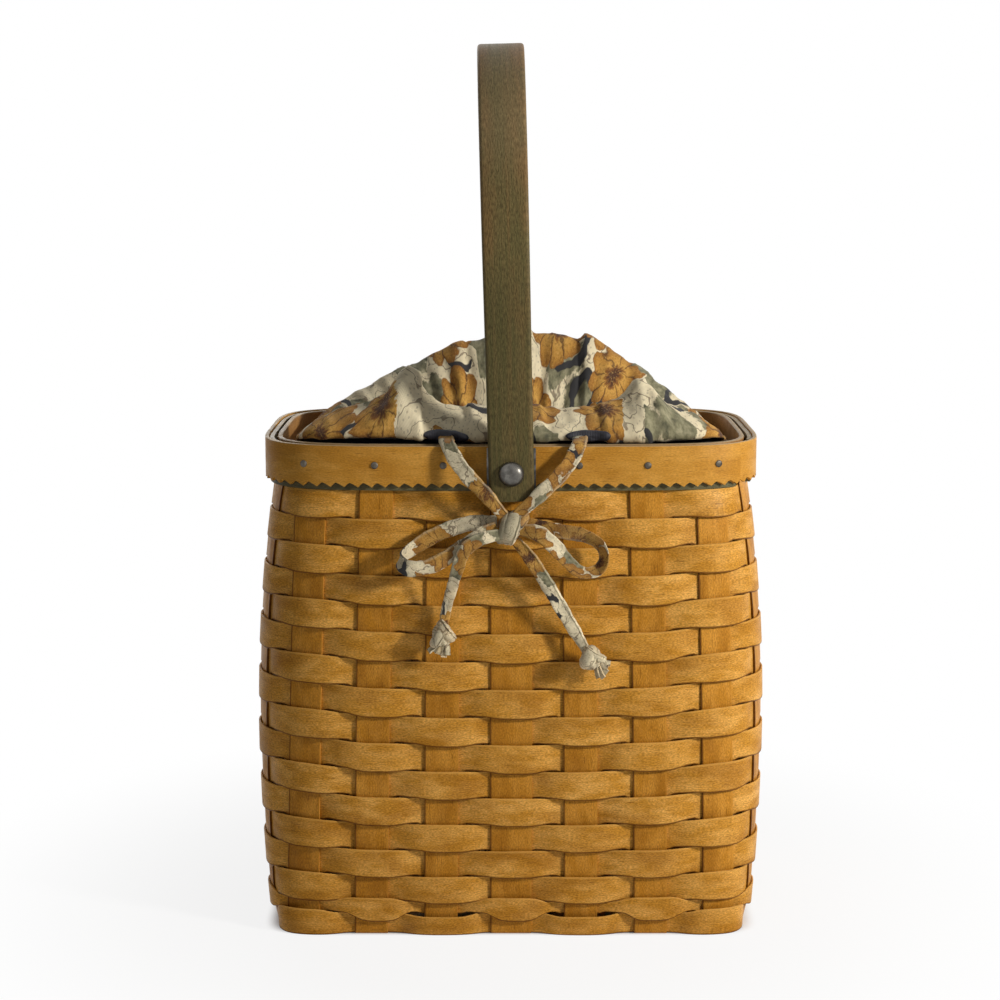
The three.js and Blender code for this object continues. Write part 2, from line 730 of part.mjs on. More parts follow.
const rightLoop = [
  { at: [4, -79.2, 187.6], across: [0, 0.2, 1], wide: 6 },
  { at: [12, -81.2, 186], across: [0.4, 0.2, 1] },
  { at: [18, -81.6, 181], across: [0.8, 0.3, 0.5] },
  { at: [24, -81.2, 174.2], across: [0.7, 0.7, 0.4] },
  { at: [30, -80.4, 169.4], across: [0.2, 0.8, 0.6] },
  { at: [36.6, -79.4, 169.8], across: [-0.3, 0.8, 0.5] },
  { at: [39.8, -78, 174.4], across: [-0.6, 0.8, 0] },
  { at: [38.2, -76.6, 180.2], across: [-0.5, 0.7, -0.5] },
  { at: [31.5, -75.2, 184], across: [-0.2, 0.4, -0.9] },
  { at: [20, -74, 186], across: [0, 0.1, -1] },
  { at: [5.2, -73.6, 189.6], across: [0, 0, -1], wide: 6 },
];
const leftTail = [
  { at: [-3.4, -78.9, 185.6], across: [-0.3, 0, 1], wide: 5.4 },
  { at: [-12.6, -83.6, 184.4], across: [-0.3, 0, 1] },
  { at: [-19.6, -84.2, 179.8], across: [-0.8, 0, 0.6] },
  { at: [-22.8, -82.2, 171.5], across: [-1, 0, 0.3], wide: 6.6 },
  { at: [-25.4, -79, 162], across: [-1, 0, 0.3], wide: 6 },
  { at: [-27.8, -77.2, 153], across: [-1, 0, 0.3], wide: 5.6 },
  { at: [-29.2, -77.4, 147], across: [-1, 0, 0.2], wide: 5, thick: 3 },
  { at: [-29.4, -78.4, 141], across: [-1, 0, 0.2], wide: 10, thick: 8 },
  { at: [-28.8, -78.2, 135], across: [-1, 0, 0], wide: 8, thick: 4 },
];
const rightTail = [
  { at: [1.2, -77.5, 183.2], across: [0.9, 0, 0.5], wide: 5 },
  { at: [7, -81.4, 177], across: [0.8, 0, 0.6] },
  { at: [13.5, -80.6, 167], across: [0.85, 0, 0.5] },
  { at: [21, -78.6, 154], across: [0.85, 0, 0.5] },
  { at: [27, -77.4, 143.4], across: [0.85, 0, 0.5], wide: 7 },
  { at: [31.2, -77.4, 135.8], across: [0.85, 0, 0.5], wide: 5, thick: 3 },
  { at: [36, -78.8, 129.4], across: [0.8, 0, 0.6], wide: 10.5, thick: 8 },
  { at: [40.6, -78.8, 124], across: [0.8, 0, 0.6], wide: 8, thick: 4 },
];

function bowKnot() {
  const ball = new THREE.SphereGeometry(1, knotSides, knotRings);
  ball.scale(knot.halfWidth, knot.halfDepth, knot.halfHeight);
  return ball.translate(knot.x, knot.y, knot.z);
}

// Materials
const wood = (color) => new THREE.MeshStandardMaterial({ color, roughness: 0.45, metalness: 0 });
const steel = (color) => new THREE.MeshStandardMaterial({ color, roughness: 0.35, metalness: 1 });
const cloth = (color) => new THREE.MeshStandardMaterial({ color, roughness: 0.9, metalness: 0 });
const honey = 0xc08a3c;
const amber = 0xb07826;
const olive = 0x554e32;
const handleBrown = 0x58502f;
const pewter = 0x8d8b84;
const dullSteel = 0x6f6d68;
const cream = 0xc8bea0;
const rust = 0xb06a2c;

// Assembly
const basket = new THREE.Group();
function place(name, geometry, material, parent = basket) {
  const mesh = new THREE.Mesh(geometry, material);
  mesh.name = name;
  parent.add(mesh);
  return mesh;
}

for (const index of range(crossCount)) {
  const holes = isRiveted(crossPlaces[index]) ? rivetCutters : tackCutters;
  place(`splint_cross_${index + 1}`, drill(crossSplint(index), holes), wood(amber));
}
for (const index of range(longCount)) {
  place(`splint_long_${index + 1}`, longSplint(index), wood(amber));
}
for (const row of range(fullRows + narrowRows)) {
  place(`weaver_${String(row + 1).padStart(2, "0")}`, weaver(row), wood(honey));
}
place("rim_band_outer", outerBand(), wood(honey));
place("rim_band_trim", trimBand(), wood(olive));
place("rim_band_inner", innerBand(), wood(amber));

const swing = new THREE.Group();
swing.position.z = pivotHeight;
swing.rotation.y = -THREE.MathUtils.degToRad(handleLean);
basket.add(swing);
place("handle", handleArch(), wood(handleBrown), swing);

for (const [side, turn] of [["front", 0], ["back", Math.PI]]) {
  const joint = new THREE.Group();
  joint.position.z = pivotHeight;
  joint.rotation.z = turn;
  basket.add(joint);
  place(`rivet_${side}`, rivet(), steel(pewter), joint);
  place(`rivet_washer_${side}`, washer(), steel(dullSteel), joint);
  place(`wear_plate_${side}`, wearPlate(), steel(dullSteel), joint);
  tackFrames[side].forEach(({ point, normal }, i) => {
    const piece = place(`tack_${side}_${i + 1}`, tack(), steel(pewter));
    piece.position.copy(point).addScaledVector(normal, bandOutside);
    piece.quaternion.setFromUnitVectors(vector(0, -1, 0), normal);
  });
}

place("liner", liner(), cloth(cream));
place("tie_left", strip(leftTie), cloth(rust));
place("tie_right", strip(rightTie), cloth(rust));
place("bow_knot", bowKnot(), cloth(rust));
place("bow_loop_left", strip(leftLoop), cloth(rust));
place("bow_loop_right", strip(rightLoop), cloth(rust));
place("bow_tail_left", strip(leftTail), cloth(rust));
place("bow_tail_right", strip(rightTail), cloth(rust));

export default basket;
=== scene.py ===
import math

import bmesh
import bpy
import numpy as np
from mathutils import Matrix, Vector, noise


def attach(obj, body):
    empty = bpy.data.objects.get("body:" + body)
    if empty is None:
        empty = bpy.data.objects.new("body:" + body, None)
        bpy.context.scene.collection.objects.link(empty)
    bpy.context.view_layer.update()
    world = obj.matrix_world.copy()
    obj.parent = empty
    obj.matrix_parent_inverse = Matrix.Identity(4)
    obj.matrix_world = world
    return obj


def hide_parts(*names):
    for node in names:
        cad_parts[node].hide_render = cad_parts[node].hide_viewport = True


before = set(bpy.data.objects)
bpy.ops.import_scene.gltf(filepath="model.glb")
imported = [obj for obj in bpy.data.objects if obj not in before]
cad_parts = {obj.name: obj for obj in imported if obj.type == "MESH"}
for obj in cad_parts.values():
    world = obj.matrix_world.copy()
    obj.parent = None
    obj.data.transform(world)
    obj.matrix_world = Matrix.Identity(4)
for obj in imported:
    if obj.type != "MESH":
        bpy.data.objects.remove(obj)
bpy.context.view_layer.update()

MM = 0.001

# Camera
CAMERA_PLACE = (-4.84, -970, 349.2)
CAMERA_PITCH = 9.486  # degrees below the horizon
CAMERA_LENS, CAMERA_SENSOR = 76.48, 36

# Light and floor, in metres and watts; each lamp has a place, an aim, a size, a power and a colour
LAMPS = {
    "key": ((0.76, -0.5, 0.5), (0, 0, 0.14), 0.12, 8.4, (1.0, 0.97, 0.92)),
    "back": ((-0.5, 1.3, 0.75), (0, 0, 0.15), 1.0, 4.5, (1.0, 0.98, 0.95)),
    "fill": ((-1.0, -1.5, 0.6), (0, 0, 0.15), 1.2, 1.4, (0.97, 0.98, 1.0)),
    "top": ((0.2, 0.35, 1.3), (0, 0, 0.2), 0.8, 2, (1, 1, 1)),
}
SKY_TONE, SKY_POWER = 0.9, 0.11
FLOOR_REACH, FLOOR_TONES = 6, (0.84, 0.88)
SHADOW_REACH = (0.12, 0.3)  # distances from the middle between which the floor's shadow fades out
SHADOW_GLOW = 0.85  # share of plain white close to the object
UNDER_BASE = (0.97, 1.05)  # shares of the base between which the floor under it turns dark

# Wall, repeated from the part's source, but with the rim's corners a little rounder
BODY_HEIGHT, WEAVE_TOP = 222, 202
BASE_WIDTH, BASE_DEPTH = 215, 122
TOP_WIDTH, TOP_DEPTH = 210, 128.5
SIDE_SWELL, FRONT_SWELL = 7, 8.5
BASE_SQUARENESS, MID_SQUARENESS, TOP_SQUARENESS = 10, 4.4, 5.2
SQUARENESS_FADE = 32
CORNER_RISE, END_RISE = 3, 2.4
LENGTH_SAMPLES = 4000
EVEN, CENTRIPETAL = 0, 0.5  # powers that pace a curve

# Uprights
CROSS_PLACES = np.arange(-3, 4)
LONG_PLACES = np.arange(4) - 1.5
CROSS_PITCHES, LONG_PITCHES = (31.3, 29.2), (30, 28)  # at the floor and at the top of the weave
SPLINT_WIDTH, CENTRE_WIDTH, SPLINT_THICK = 14.8, 18.4, 1
SPLINT_TOP = BODY_HEIGHT - 2.6
SPLINT_BEND, BEND_STEPS = 0.9, 4
WALL_STATIONS = 64
COLUMNS = np.linspace(-1, 1, 5)  # points across a splint, as shares of its half width
END_FOOT_DRAW, END_FOOT_RISE = 1.8, 15  # lean of the corner uprights at the floor, and where it starts
FOOT_BOW = 0.85  # share of the wall's curve at the corners that the bent feet follow
FLAT_RUN = 0.9  # how far a splint runs on level past one that it crosses on the floor
LOW_LEVEL, HIGH_LEVEL = 0.5, 1.8
SPLINT_SWAY = 0.15  # how far an upright gives way to the rows that cross it
SWAY_START, SWAY_STOP = (0, 14), (WEAVE_TOP + 8, WEAVE_TOP - 4)
CROSS_SEED, LONG_SEED = 40, 60

# Weavers
FULL_ROWS, NARROW_ROWS = 15, 2
ALL_ROWS = FULL_ROWS + NARROW_ROWS
ROW_PITCH, NARROW_PITCH, ROW_GAP = 12.4, 5.6, 0.4
WEAVER_THICK, EDGE_ROUND = 0.9, 0.22
WEAVER_SEED, PHASES = 100, (0, 6)  # radians at which a row's unevenness may start
HIDDEN_START = 15  # upright at the back where a row begins
STATIONS_PER_UPRIGHT = 14
OUT_SWING, IN_SWING = 2.1, 1.3  # middle of a weaver from the wall, over and behind an upright
WAVE_FULLNESS, WAVE_LIFT = 0.15, 0.28  # how square the wave is, and how soon it rises beside an upright
END_SWING, END_FACING = 0.62, (0.4, 0.95)  # share of the swing on the ends, and how the wall faces there
SWING_DRIFT, SWING_RATE, SWING_SPREAD = 0.07, 0.37, 0.04  # unevenness along a row, and from row to row
EDGE_DRIFT, EDGE_RATE = 0.16, 0.71  # unevenness of a row's edges
ROW_LAP = (0.3, 0.95)  # how far an outer stretch laps the rows above and below
LAP_RANGE, SAG_RANGE = (0.22, 0.95), (0.07, 0.95)  # shares of the swing over which each lap grows
LAP_LAG = 0.24  # radians by which the lap lags along the row, so that segments hang to one side
TUCK, TUCK_RANGE = 1.0, (-0.15, -0.55)  # how far a row spreads where it is hidden behind an upright
TOP_ROW_LIMIT = WEAVE_TOP + 0.2

# The two crowded rows at the floor
BASE_ROW_LAPS = {FULL_ROWS: (2.3, 4.0), FULL_ROWS + 1: (-1.2, 4.95)}
BASE_END_LAP, BASE_END_FACING = 0.45, (0.2, 0.6)  # share of the lower lap on the ends
FLOOR_ROW_FOOT, FLOOR_ROW_SWING = 0.35, 1.45  # foot of the lowest row, and its swing against the others
FLOOR_ROW_CORNER, FLOOR_ROW_END = 3.2, 1.2  # how much taller it is over corner uprights and on the ends
CORNER_RISES = (END_RISE * 0.6, END_RISE)
FLOOR_ROW_DRAW = 0.6  # share of the corner uprights' lean that it follows

# Rim, as distances outward from the middle of the wall
TRIM_INSIDE, TRIM_OUTSIDE = 0.7, 2.85
BAND_INSIDE, BAND_OUTSIDE = 3.15, 4.95
INNER_OUTSIDE, INNER_INSIDE = -0.7, -3.0
BAND_HEIGHT, TRIM_REACH, INNER_HEIGHT, TRIM_TOP_DROP = 18, 19.6, 19, 0.6
BAND_ROUND, TRIM_ROUND, INNER_ROUND, ROUND_CUT = 0.35, 0.3, 0.6, 0.3
TOOTH_PITCH, TOOTH_DEPTH, TOOTH_LEAN, TOOTH_ROUND = 5.8, 1.95, 0.38, 0.35
STATIONS_PER_TOOTH, BAND_STATIONS = 10, 420
BAND_SEED, TRIM_SEED, INNER_SEED = 80, 81, 82
BAND_LAP, BAND_SKIVE, SKIVE_GAP, SKIVE_LIP = 20, 18, 0.06, 4  # lapped ends of the outer band
SEAM_X = 96.5  # where the outer band's upper end stops, at the front right corner
TRIM_END_X, TRIM_GAP = 96, 14  # where the trim stops on the front, and how far round its other end is

# Handle
LEG_INSIDE, HANDLE_THICK, HANDLE_EDGE = 6.55, 5.2, 1.5
HANDLE_TOP, ARCH_RISE, HANDLE_TAIL = 394, 105, 12
HANDLE_FOOT_WIDTH, HANDLE_TOP_WIDTH = 19.2, 20.8
HANDLE_LEAN = 1.45  # degrees to the left
LEG_STATIONS, ARCH_STATIONS, CORNER_STEPS = 24, 73, 4
HIGHLIGHT_DROP, HIGHLIGHT_SPREAD = 33, 20  # stretch of the bend, below the top, with a painted highlight
GRIP_SHARES = (0.35, 0.8)  # shares of the height between which the grip starts
HANDLE_SEED, GRAIN_TURN = 90, 3  # how much denser the grain is on the handle's edges

# Fasteners
PIVOT_HEIGHT, WALL_AT_RIVET = 211, TOP_DEPTH / 2
RIVET_HEAD, RIVET_DOME, RIVET_SHANK, RIVET_LIP = 10.8, 3.4, 5, 0.4
HEAD_FACE, CLINCH_FACE = 12.05, -4.6
CLINCH_SIZE, CLINCH_HEIGHT, CLINCH_EDGE, HEAD_EDGE = 8, 1.2, 0.3, 0.25
TACK_HEAD, TACK_DOME, TACK_SHANK, TACK_EDGE, TACK_TIP = 3.1, 0.5, 1.2, 0.2, 0.1
TACK_HEIGHT = BODY_HEIGHT - 8.4
FRONT_TACK_GAP, END_TACK_GAP = 0.3, 0.1  # tacks on the ends are driven home
RIVET_SIDES, RIVET_STEPS, TACK_SIDES, TACK_STEPS = 40, 10, 18, 5
DOME_TIP = 1 / 60  # radius at which a dome is closed, as a share of its diameter

# Liner
CLOTH_THICK, LINER_COLUMNS, WALL_STEPS, TOP_STEPS = 0.8, 480, 5, 9
LINER_ROOM, LINER_RIM_ROOM = 4.5, 8
LINER_FLOOR, LINER_FOOT, LINER_FOOT_RISE = 3, 6, 8
MOUTH_HALF_LENGTH, MOUTH_HALF_WIDTH, MOUTH_FORWARD = 62, 16, 11
CREST_SHARE, FRONT_ROLL = 0.42, 13
# Rings from the rim to the hem, each as it is on the back and the ends and then on the front roll: share of
# the way from the rim to the mouth, reach outward over the rim, share of the crest's height, and lift
LINER_TOPS = [
    ((0, 0, 0, -7), (0, 0, 0, -7)),
    ((0.021, 0, 0.1, -5.5), (0, -9, 0, 0.4)),
    ((0.042, 0, 0.2, -4), (0, 3.96, 0, 1.5)),
    ((0.105, 0, 0.42, -2), (0.0336, 4.4, 0.48, 0)),
    ((0.21, 0, 0.75, -1), (0.21, 0, 0.9, 0)),
    ((CREST_SHARE, 0, 1, 0), (CREST_SHARE, 0, 1, 0)),
    ((0.71, 0, 0.6, -3), (0.71, 0, 0.6, -3)),
    ((1, 0, 0.1, -8), (1, 0, 0.1, -8)),
    ((0.942, 0, 0.1, -15), (0.942, 0, 0.1, -15)),
]
ROLL_FOOT = 2  # the ring along the roll's lower edge
ROLL_GAP = (1.6, -52, 24, 4)  # where the gap under it is wider: height, place, spread and power
# Each swell of the crest: height, place, spread and power of its fall
FRONT_SWELLS = [(4, -48, 18, 2), (11.5, -43, 6, 1.3), (2, 54, 16, 2), (9.5, 56.5, 5, 1.3)]
BACK_RIDGE, BACK_SPREADS, BACK_POWERS = (39, 8), (74, 63), (2.2, 2.6)  # to the left and to the right
END_DIP, END_TURN = 4, 0.45
ROLL_FACING = (0.45, 0.92)  # shares of the way to the front over which the cloth becomes a roll
# Pleats: depth, place along the basket, width, and the side to which they lie
FRONT_PLEATS = [(3.2, -40, 13, 1), (2.0, -18, 9, -1), (1.5, 14, 9, 1), (2.6, 59, 12, 1), (1.4, 40, 7, -1)]
BACK_PLEATS = [(3.4, 34, 17, -1), (1.6, 58, 14, -1), (1.5, -22, 14, 1), (1.2, 10, 9, 1), (1.4, -50, 12, 1)]
PLEAT_SLANT, PLEAT_UPRIGHT, PLEAT_EDGE = 8, 0.45, (-1.6, 0.4)
PLEAT_FACING = (0.4, 0.9)
# Shares of the way up from the rim to the hem between which folds start or stop
FOLDS_START, FRONT_START, BACK_START, BACK_STOP = (0.0, 0.16), (0.12, 0.4), (0.1, 0.35), (1.05, 0.7)
GATHERS_START, GATHER_DEPTH = (0.5, 0.8), 0.6
# Gathers at the mouth: weight, count, and depth, count and start of their sway
GATHERS = [(1, 41, 1.6, 3, 0.6), (0.6, 67, 2, 5, 0)]
CRUMPLE, CRUMPLE_EDGE = [(0.55, 9.0), (0.3, 4.2)], 2.4  # depth and size of the small creases
CREAM_PATCHES, CREAM_FACING = [(1, -42, 9, 4), (1, 53, 5, 4)], (0.5, 0.8)  # plain cloth on the roll's peaks
# Rings between which black is painted under the roll, as shade in the gap there
SHADE_START, SHADE_END, SHADE_FACING = (1, 4), (18.6, 16.8), (0.6, 0.85)
EYELETS = {"buttonhole_left": -27.6, "buttonhole_right": 32.6}
EYELET_HALF, EYELET_HEIGHT, EYELET_SIDES = (10, 2.5), 225.2, 56
# Section of an eyelet's binding: share of its half size, and lift off the cloth
EYELET_SECTION = [(0.04, 0.35), (0.5, 0.4), (0.62, 0.75), (0.8, 1.1), (0.97, 0.75), (1.0, 0.1), (0.9, -0.6),
                  (0.04, -0.7)]

# Ties; their points and width are repeated from the part's source, and they are a little thinner here
TIE_WIDTH, TIE_THICK = 7.5, 1.1
SLACK_WIDTHS = {"tie": 0.88, "loop": 0.92, "tail": 0.8}  # shares of that width as the cloth lies folded
RIBBON_STEPS, RIBBON_SIDE = 10, 14
LEFT_TIE = [
    ((-28.5, -54, 226.6), (1, 0, 0)), ((-28, -64, 224.6), (1, 0, 0)), ((-27, -71, 222.8), (1, 0, 0.2)),
    ((-23.4, -74, 216.3), (0.85, 0, 0.5)), ((-17.6, -76.9, 209.3), (0.75, 0, 0.66)),
    ((-11.7, -78.2, 203.4), (0.7, 0, 0.7)), ((-3.4, -77, 193.2), (0.7, 0, 0.7), 5.6),
]
RIGHT_TIE = [
    ((30, -54, 226.6), (1, 0, 0)), ((29.6, -64, 224.6), (1, 0, 0)), ((28.8, -71, 222.8), (1, 0, -0.2)),
    ((25.2, -74.1, 216), (0.85, 0, -0.5)), ((19.2, -77, 209), (0.75, 0, -0.66)),
    ((12.8, -78.2, 203), (0.7, 0, -0.7)), ((2.2, -77, 193.1), (0.7, 0, -0.7), 5.6),
]
LEFT_LOOP = [
    ((-6, -73.4, 190), (0.1, 0, 1), 6), ((-18, -72.6, 189), (0.2, 0, 1)), ((-32, -73, 184.4), (0.35, 0, 1)),
    ((-43, -74.8, 178), (0.4, 0, 1)), ((-47.6, -78.8, 174.4), (0.4, -0.1, 1)),
    ((-44.6, -82.4, 171.6), (0.4, -0.1, 1)), ((-35, -82.2, 172.2), (0.3, 0, 1)),
    ((-22, -80.6, 179.3), (-0.3, 0, 1)), ((-12, -79, 185.6), (-0.4, 0, 1)),
    ((-6.2, -78, 188.4), (-0.2, 0, 1), 6),
]
RIGHT_LOOP = [
    ((4, -79.2, 187.6), (0, 0.2, 1), 6), ((12, -81.2, 186), (0.4, 0.2, 1)),
    ((18, -81.6, 181), (0.8, 0.3, 0.5)), ((24, -81.2, 174.2), (0.7, 0.7, 0.4)),
    ((30, -80.4, 169.4), (0.2, 0.8, 0.6)), ((36.6, -79.4, 169.8), (-0.3, 0.8, 0.5)),
    ((39.8, -78, 174.4), (-0.6, 0.8, 0)), ((38.2, -76.6, 180.2), (-0.5, 0.7, -0.5)),
    ((31.5, -75.2, 184), (-0.2, 0.4, -0.9)), ((20, -74, 186), (0, 0.1, -1)),
    ((5.2, -73.6, 189.6), (0, 0, -1), 6),
]
LEFT_TAIL = [
    ((-3.4, -78.9, 185.6), (-0.3, 0, 1), 5.4), ((-12.6, -83.6, 184.4), (-0.3, 0, 1)),
    ((-19.6, -84.2, 179.8), (-0.8, 0, 0.6)), ((-22.8, -82.2, 171.5), (-1, 0, 0.3), 6.6),
    ((-25.4, -79, 162), (-1, 0, 0.3), 6), ((-27.8, -77.2, 153), (-1, 0, 0.3), 5.6),
    ((-29.2, -77.4, 145), (-1, 0, 0.2), 5, 2.4),
]
RIGHT_TAIL = [
    ((1.2, -77.5, 183.2), (0.9, 0, 0.5), 5), ((7, -81.4, 177), (0.8, 0, 0.6)),
    ((13.5, -80.6, 167), (0.85, 0, 0.5)), ((21, -78.6, 154), (0.85, 0, 0.5)),
    ((27, -77.4, 143.4), (0.85, 0, 0.5), 7), ((32.2, -77.6, 134.6), (0.85, 0, 0.5), 5, 2.4),
]
# Each wave along a strip: depth, rate along its length and share of the strip's seed
SLACK_WAVES, CUP_WAVES = [(0.04, 0.55, 1), (0.03, 1.3, 2)], [(0.3, 0.21, 1), (0.12, 0.9, 1)]
CUP_LEVEL = 0.4
# Height, place, spread and power of a strip's sewn bead, the groove beside it and its bare fold
BEAD, GROOVE, BARE_FOLD = (0.32, 0.78, 0.13, 2), (0.22, 0.5, 0.08, 2), (0.45, 0.84, 0.1, 2)
STRIP_FULLNESS, SHEET_TURN = 5, 2.4
STRIP_SHIFT, CORE_SHIFT = (0.11, 0.07), (0.13, 0.09)  # metres by which each seed shifts the print

# Knots
KNOT_PLACE, KNOT_HALF, KNOT_SEED, KNOT_PLAIN = (-0.6, -74.2, 188.2), (4.8, 4.8, 6.4), 3, 0.2
# Each wrap: centre, direction, half length and depth, width, seed, plainness, half turns, thickness, crease
KNOT_WRAPS = [
    ((-0.2, -74.6, 187.6), (-0.3, 0, -0.95), 6.8, 7.2, 7.2, 3.6, 0.7, 1.2, 2.0, 2.2),
    ((-3.2, -74.4, 187.4), (-0.3, 0, -0.95), 6.4, 6.4, 4.4, 4.1, 0.55, 1.15, 1.8, 1.4),
    ((3.0, -74.8, 189.4), (-0.75, 0, -0.66), 5.2, 5.4, 4.4, 5.2, 0.1, 1.0, 1.6, 1.4),
]
WRAP_CURL, WRAP_TAPER, WRAP_STATIONS = 1.3, 1.5, 26  # how the edges bend back, and how the ends narrow
# Each end knot: place, direction of its tip, seed, and direction, shift and width of its two wraps
END_KNOTS = {
    "end_knot_left": ((-29.6, -78.6, 141.5), (-0.15, -0.1, -1), 1,
                      [((0.6, 0, -0.8), (1.6, 0.3, 1.6), 5.4), ((-0.5, 0, -0.87), (-1.8, 0, -0.6), 4.8)]),
    "end_knot_right": ((34.6, -79, 131.2), (0.78, -0.05, -0.62), 2,
                       [((-0.45, 0, -0.89), (-1.4, 0, 0.6), 6.6), ((0.85, 0, -0.5), (1.4, 0.4, 1.8), 4.2)]),
}
END_CORE, END_CORE_PLAIN = (4.4, 3.8, 4.9), 0.92
END_WRAP_HALF, END_WRAP_PLAIN, END_WRAP_TURNS = (4.8, 4.5), 0.8, 1.25
END_WRAP_THICK, END_WRAP_CREASE = 1.7, 1.8
PUCKER, PUCKERS_ROUND, PUCKERS_UP = 0.07, 7, 5
BALL_ROUND, BALL_UP, POLE_GAP = 40, 26, 0.02
STRANDS, STRAND_STATIONS, STRAND_PLAIN = 5, 8, 0.7
STRAND_LENGTHS, STRAND_DEPTHS = (5.2, 7.6), (-0.35, 0.1)
STRAND_START, STRAND_APART, STRAND_SPREAD, STRAND_TWIST = 2.6, 1.2, 0.55, 0.6
STRAND_SWAY, STRAND_RATE = 0.7, 3
STRAND_WIDTHS, STRAND_THICKS = (2.2, 2.8), (0.9, 0.6)

# Woods; each noise has a scale along and across the grain, a detail and a roughness
WOOD_ROUGHNESS, WOOD_COAT, WOOD_SPECULAR, COAT_ROUGHNESS = 0.4, 0.01, 0.07, 0.35
WOOD_GRIT, SEED_SPREAD = 0.38, 40
FIBRES, BANDS, FIGURE = (60, 900, 4, 0.7), (22, 330, 3, 0.55), (70, 150, 3, 0.6)
PATCHES, SPECKLE, FLECKS = (34, 70, 2, 0.5), (900, 2200, 2, 0.65), (150, 2000, 1, 0.5)
STAIN_STREAKS, STAIN_BANDS = (22, 700, 4, 0.65), (6, 150, 3, 0.55)
STAIN_CLOUDS, STAIN_SPECKLE = (30, 110, 3, 0.55), (420, 1900, 3, 0.7)
STAIN_ROUGHNESS, STAIN_SPECULAR = 0.5, 0.12
END_GRAIN = (0.4, 0.3, 0.17)  # cut upper edges of the rim's bands
OLIVE, MOSS, UMBER = (0.14, 0.102, 0.04), (0.088, 0.076, 0.028), (0.17, 0.096, 0.036)
# Painted highlight on the handle's bend, and painted shade towards its foot
BEND_HIGHLIGHT, DARK_FOOT = (0.3, 0.22, 0.12), (0.05, 0.043, 0.014)

# Cloth
CLOTH_ROUGHNESS, CLOTH_SHEEN, THREAD_PITCH = 0.88, 0.08, 0.0008
CREAM, TEA, BROWN = (0.79, 0.69, 0.47), (0.52, 0.43, 0.28), (0.06, 0.022, 0.008)
RUST, OCHRE, GOLD = (0.25, 0.097, 0.014), (0.46, 0.224, 0.036), (0.62, 0.395, 0.12)
PETAL_ROOT, PETAL_LIGHT = (0.24, 0.092, 0.014), (0.58, 0.32, 0.065)
DEEP_SAGE, SAGE, PALE_SAGE = (0.07, 0.068, 0.04), (0.215, 0.2, 0.115), (0.36, 0.33, 0.21)
CHARCOAL, SHADE_BLACK = (0.024, 0.023, 0.024), (0.01, 0.01, 0.013)
PRINT_WANDER = (0.016, 0.016, 0)  # how far the print's outlines wander
DAB_SHIFT, RING_SHIFT = (0.31, 0.12, 0), (0.07, 0.43, 0)
HALF_PETALS, PETAL_DEPTH, RING_SIZE = 4.5, 0.09, 0.3
STITCH_PITCH, STITCH_BLACKS = 0.0011, ((0.006, 0.006, 0.009), (0.018, 0.017, 0.026))


def mix(a, b, t):
    return a + (b - a) * t


def smooth(low, high, x):
    t = np.clip((x - low) / (high - low), 0, 1)
    return t * t * (3 - 2 * t)


def bump_shape(x, height, at, spread, power):
    return height * np.exp(-np.abs((x - at) / spread) ** power)


def unit(ways):
    return ways / np.linalg.norm(ways, axis=-1, keepdims=True)


def vectors(x, y, z):
    """Vectors from three arrays or numbers."""
    return np.stack(np.broadcast_arrays(x, y, z), axis=-1)


def run_along(path):
    """Length along a path, at each of its points."""
    return np.concatenate([[0], np.cumsum(np.linalg.norm(np.diff(path, axis=0), axis=-1))])


def grey(value):
    return (value, value, value)


# Materials

class Nodes:
    """A node tree, built with short calls."""

    def __init__(self, tree):
        self.tree = tree

    def feed(self, socket, value):
        if isinstance(value, bpy.types.NodeSocket):
            self.tree.links.new(value, socket)
        elif socket.type == "RGBA":
            socket.default_value = (*value, 1)
        else:
            socket.default_value = value

    def node(self, kind, inputs=None, **settings):
        made = self.tree.nodes.new("ShaderNode" + kind)
        for key, value in settings.items():
            setattr(made, key, value)
        for key, value in (inputs or {}).items():
            self.feed(made.inputs[key], value)
        return made

    def math(self, operation, a, b=0.0):
        return self.node("Math", {0: a, 1: b}, operation=operation).outputs[0]

    def surface(self, output, factor, first, second):
        """Two shaders mixed by a factor, as the surface of an output node."""
        mixed = self.node("MixShader", {0: factor, 1: first.outputs[0], 2: second.outputs[0]})
        self.feed(self.tree.nodes[output].inputs["Surface"], mixed.outputs[0])

    def seen_directly(self):
        """One for rays from the camera, straight or by a mirror or glass, and nought for the rest."""
        rays = self.node("LightPath").outputs
        seen = rays["Is Camera Ray"]
        for kind in ("Is Glossy Ray", "Is Transmission Ray"):
            seen = self.math("MAXIMUM", seen, rays[kind])
        return seen


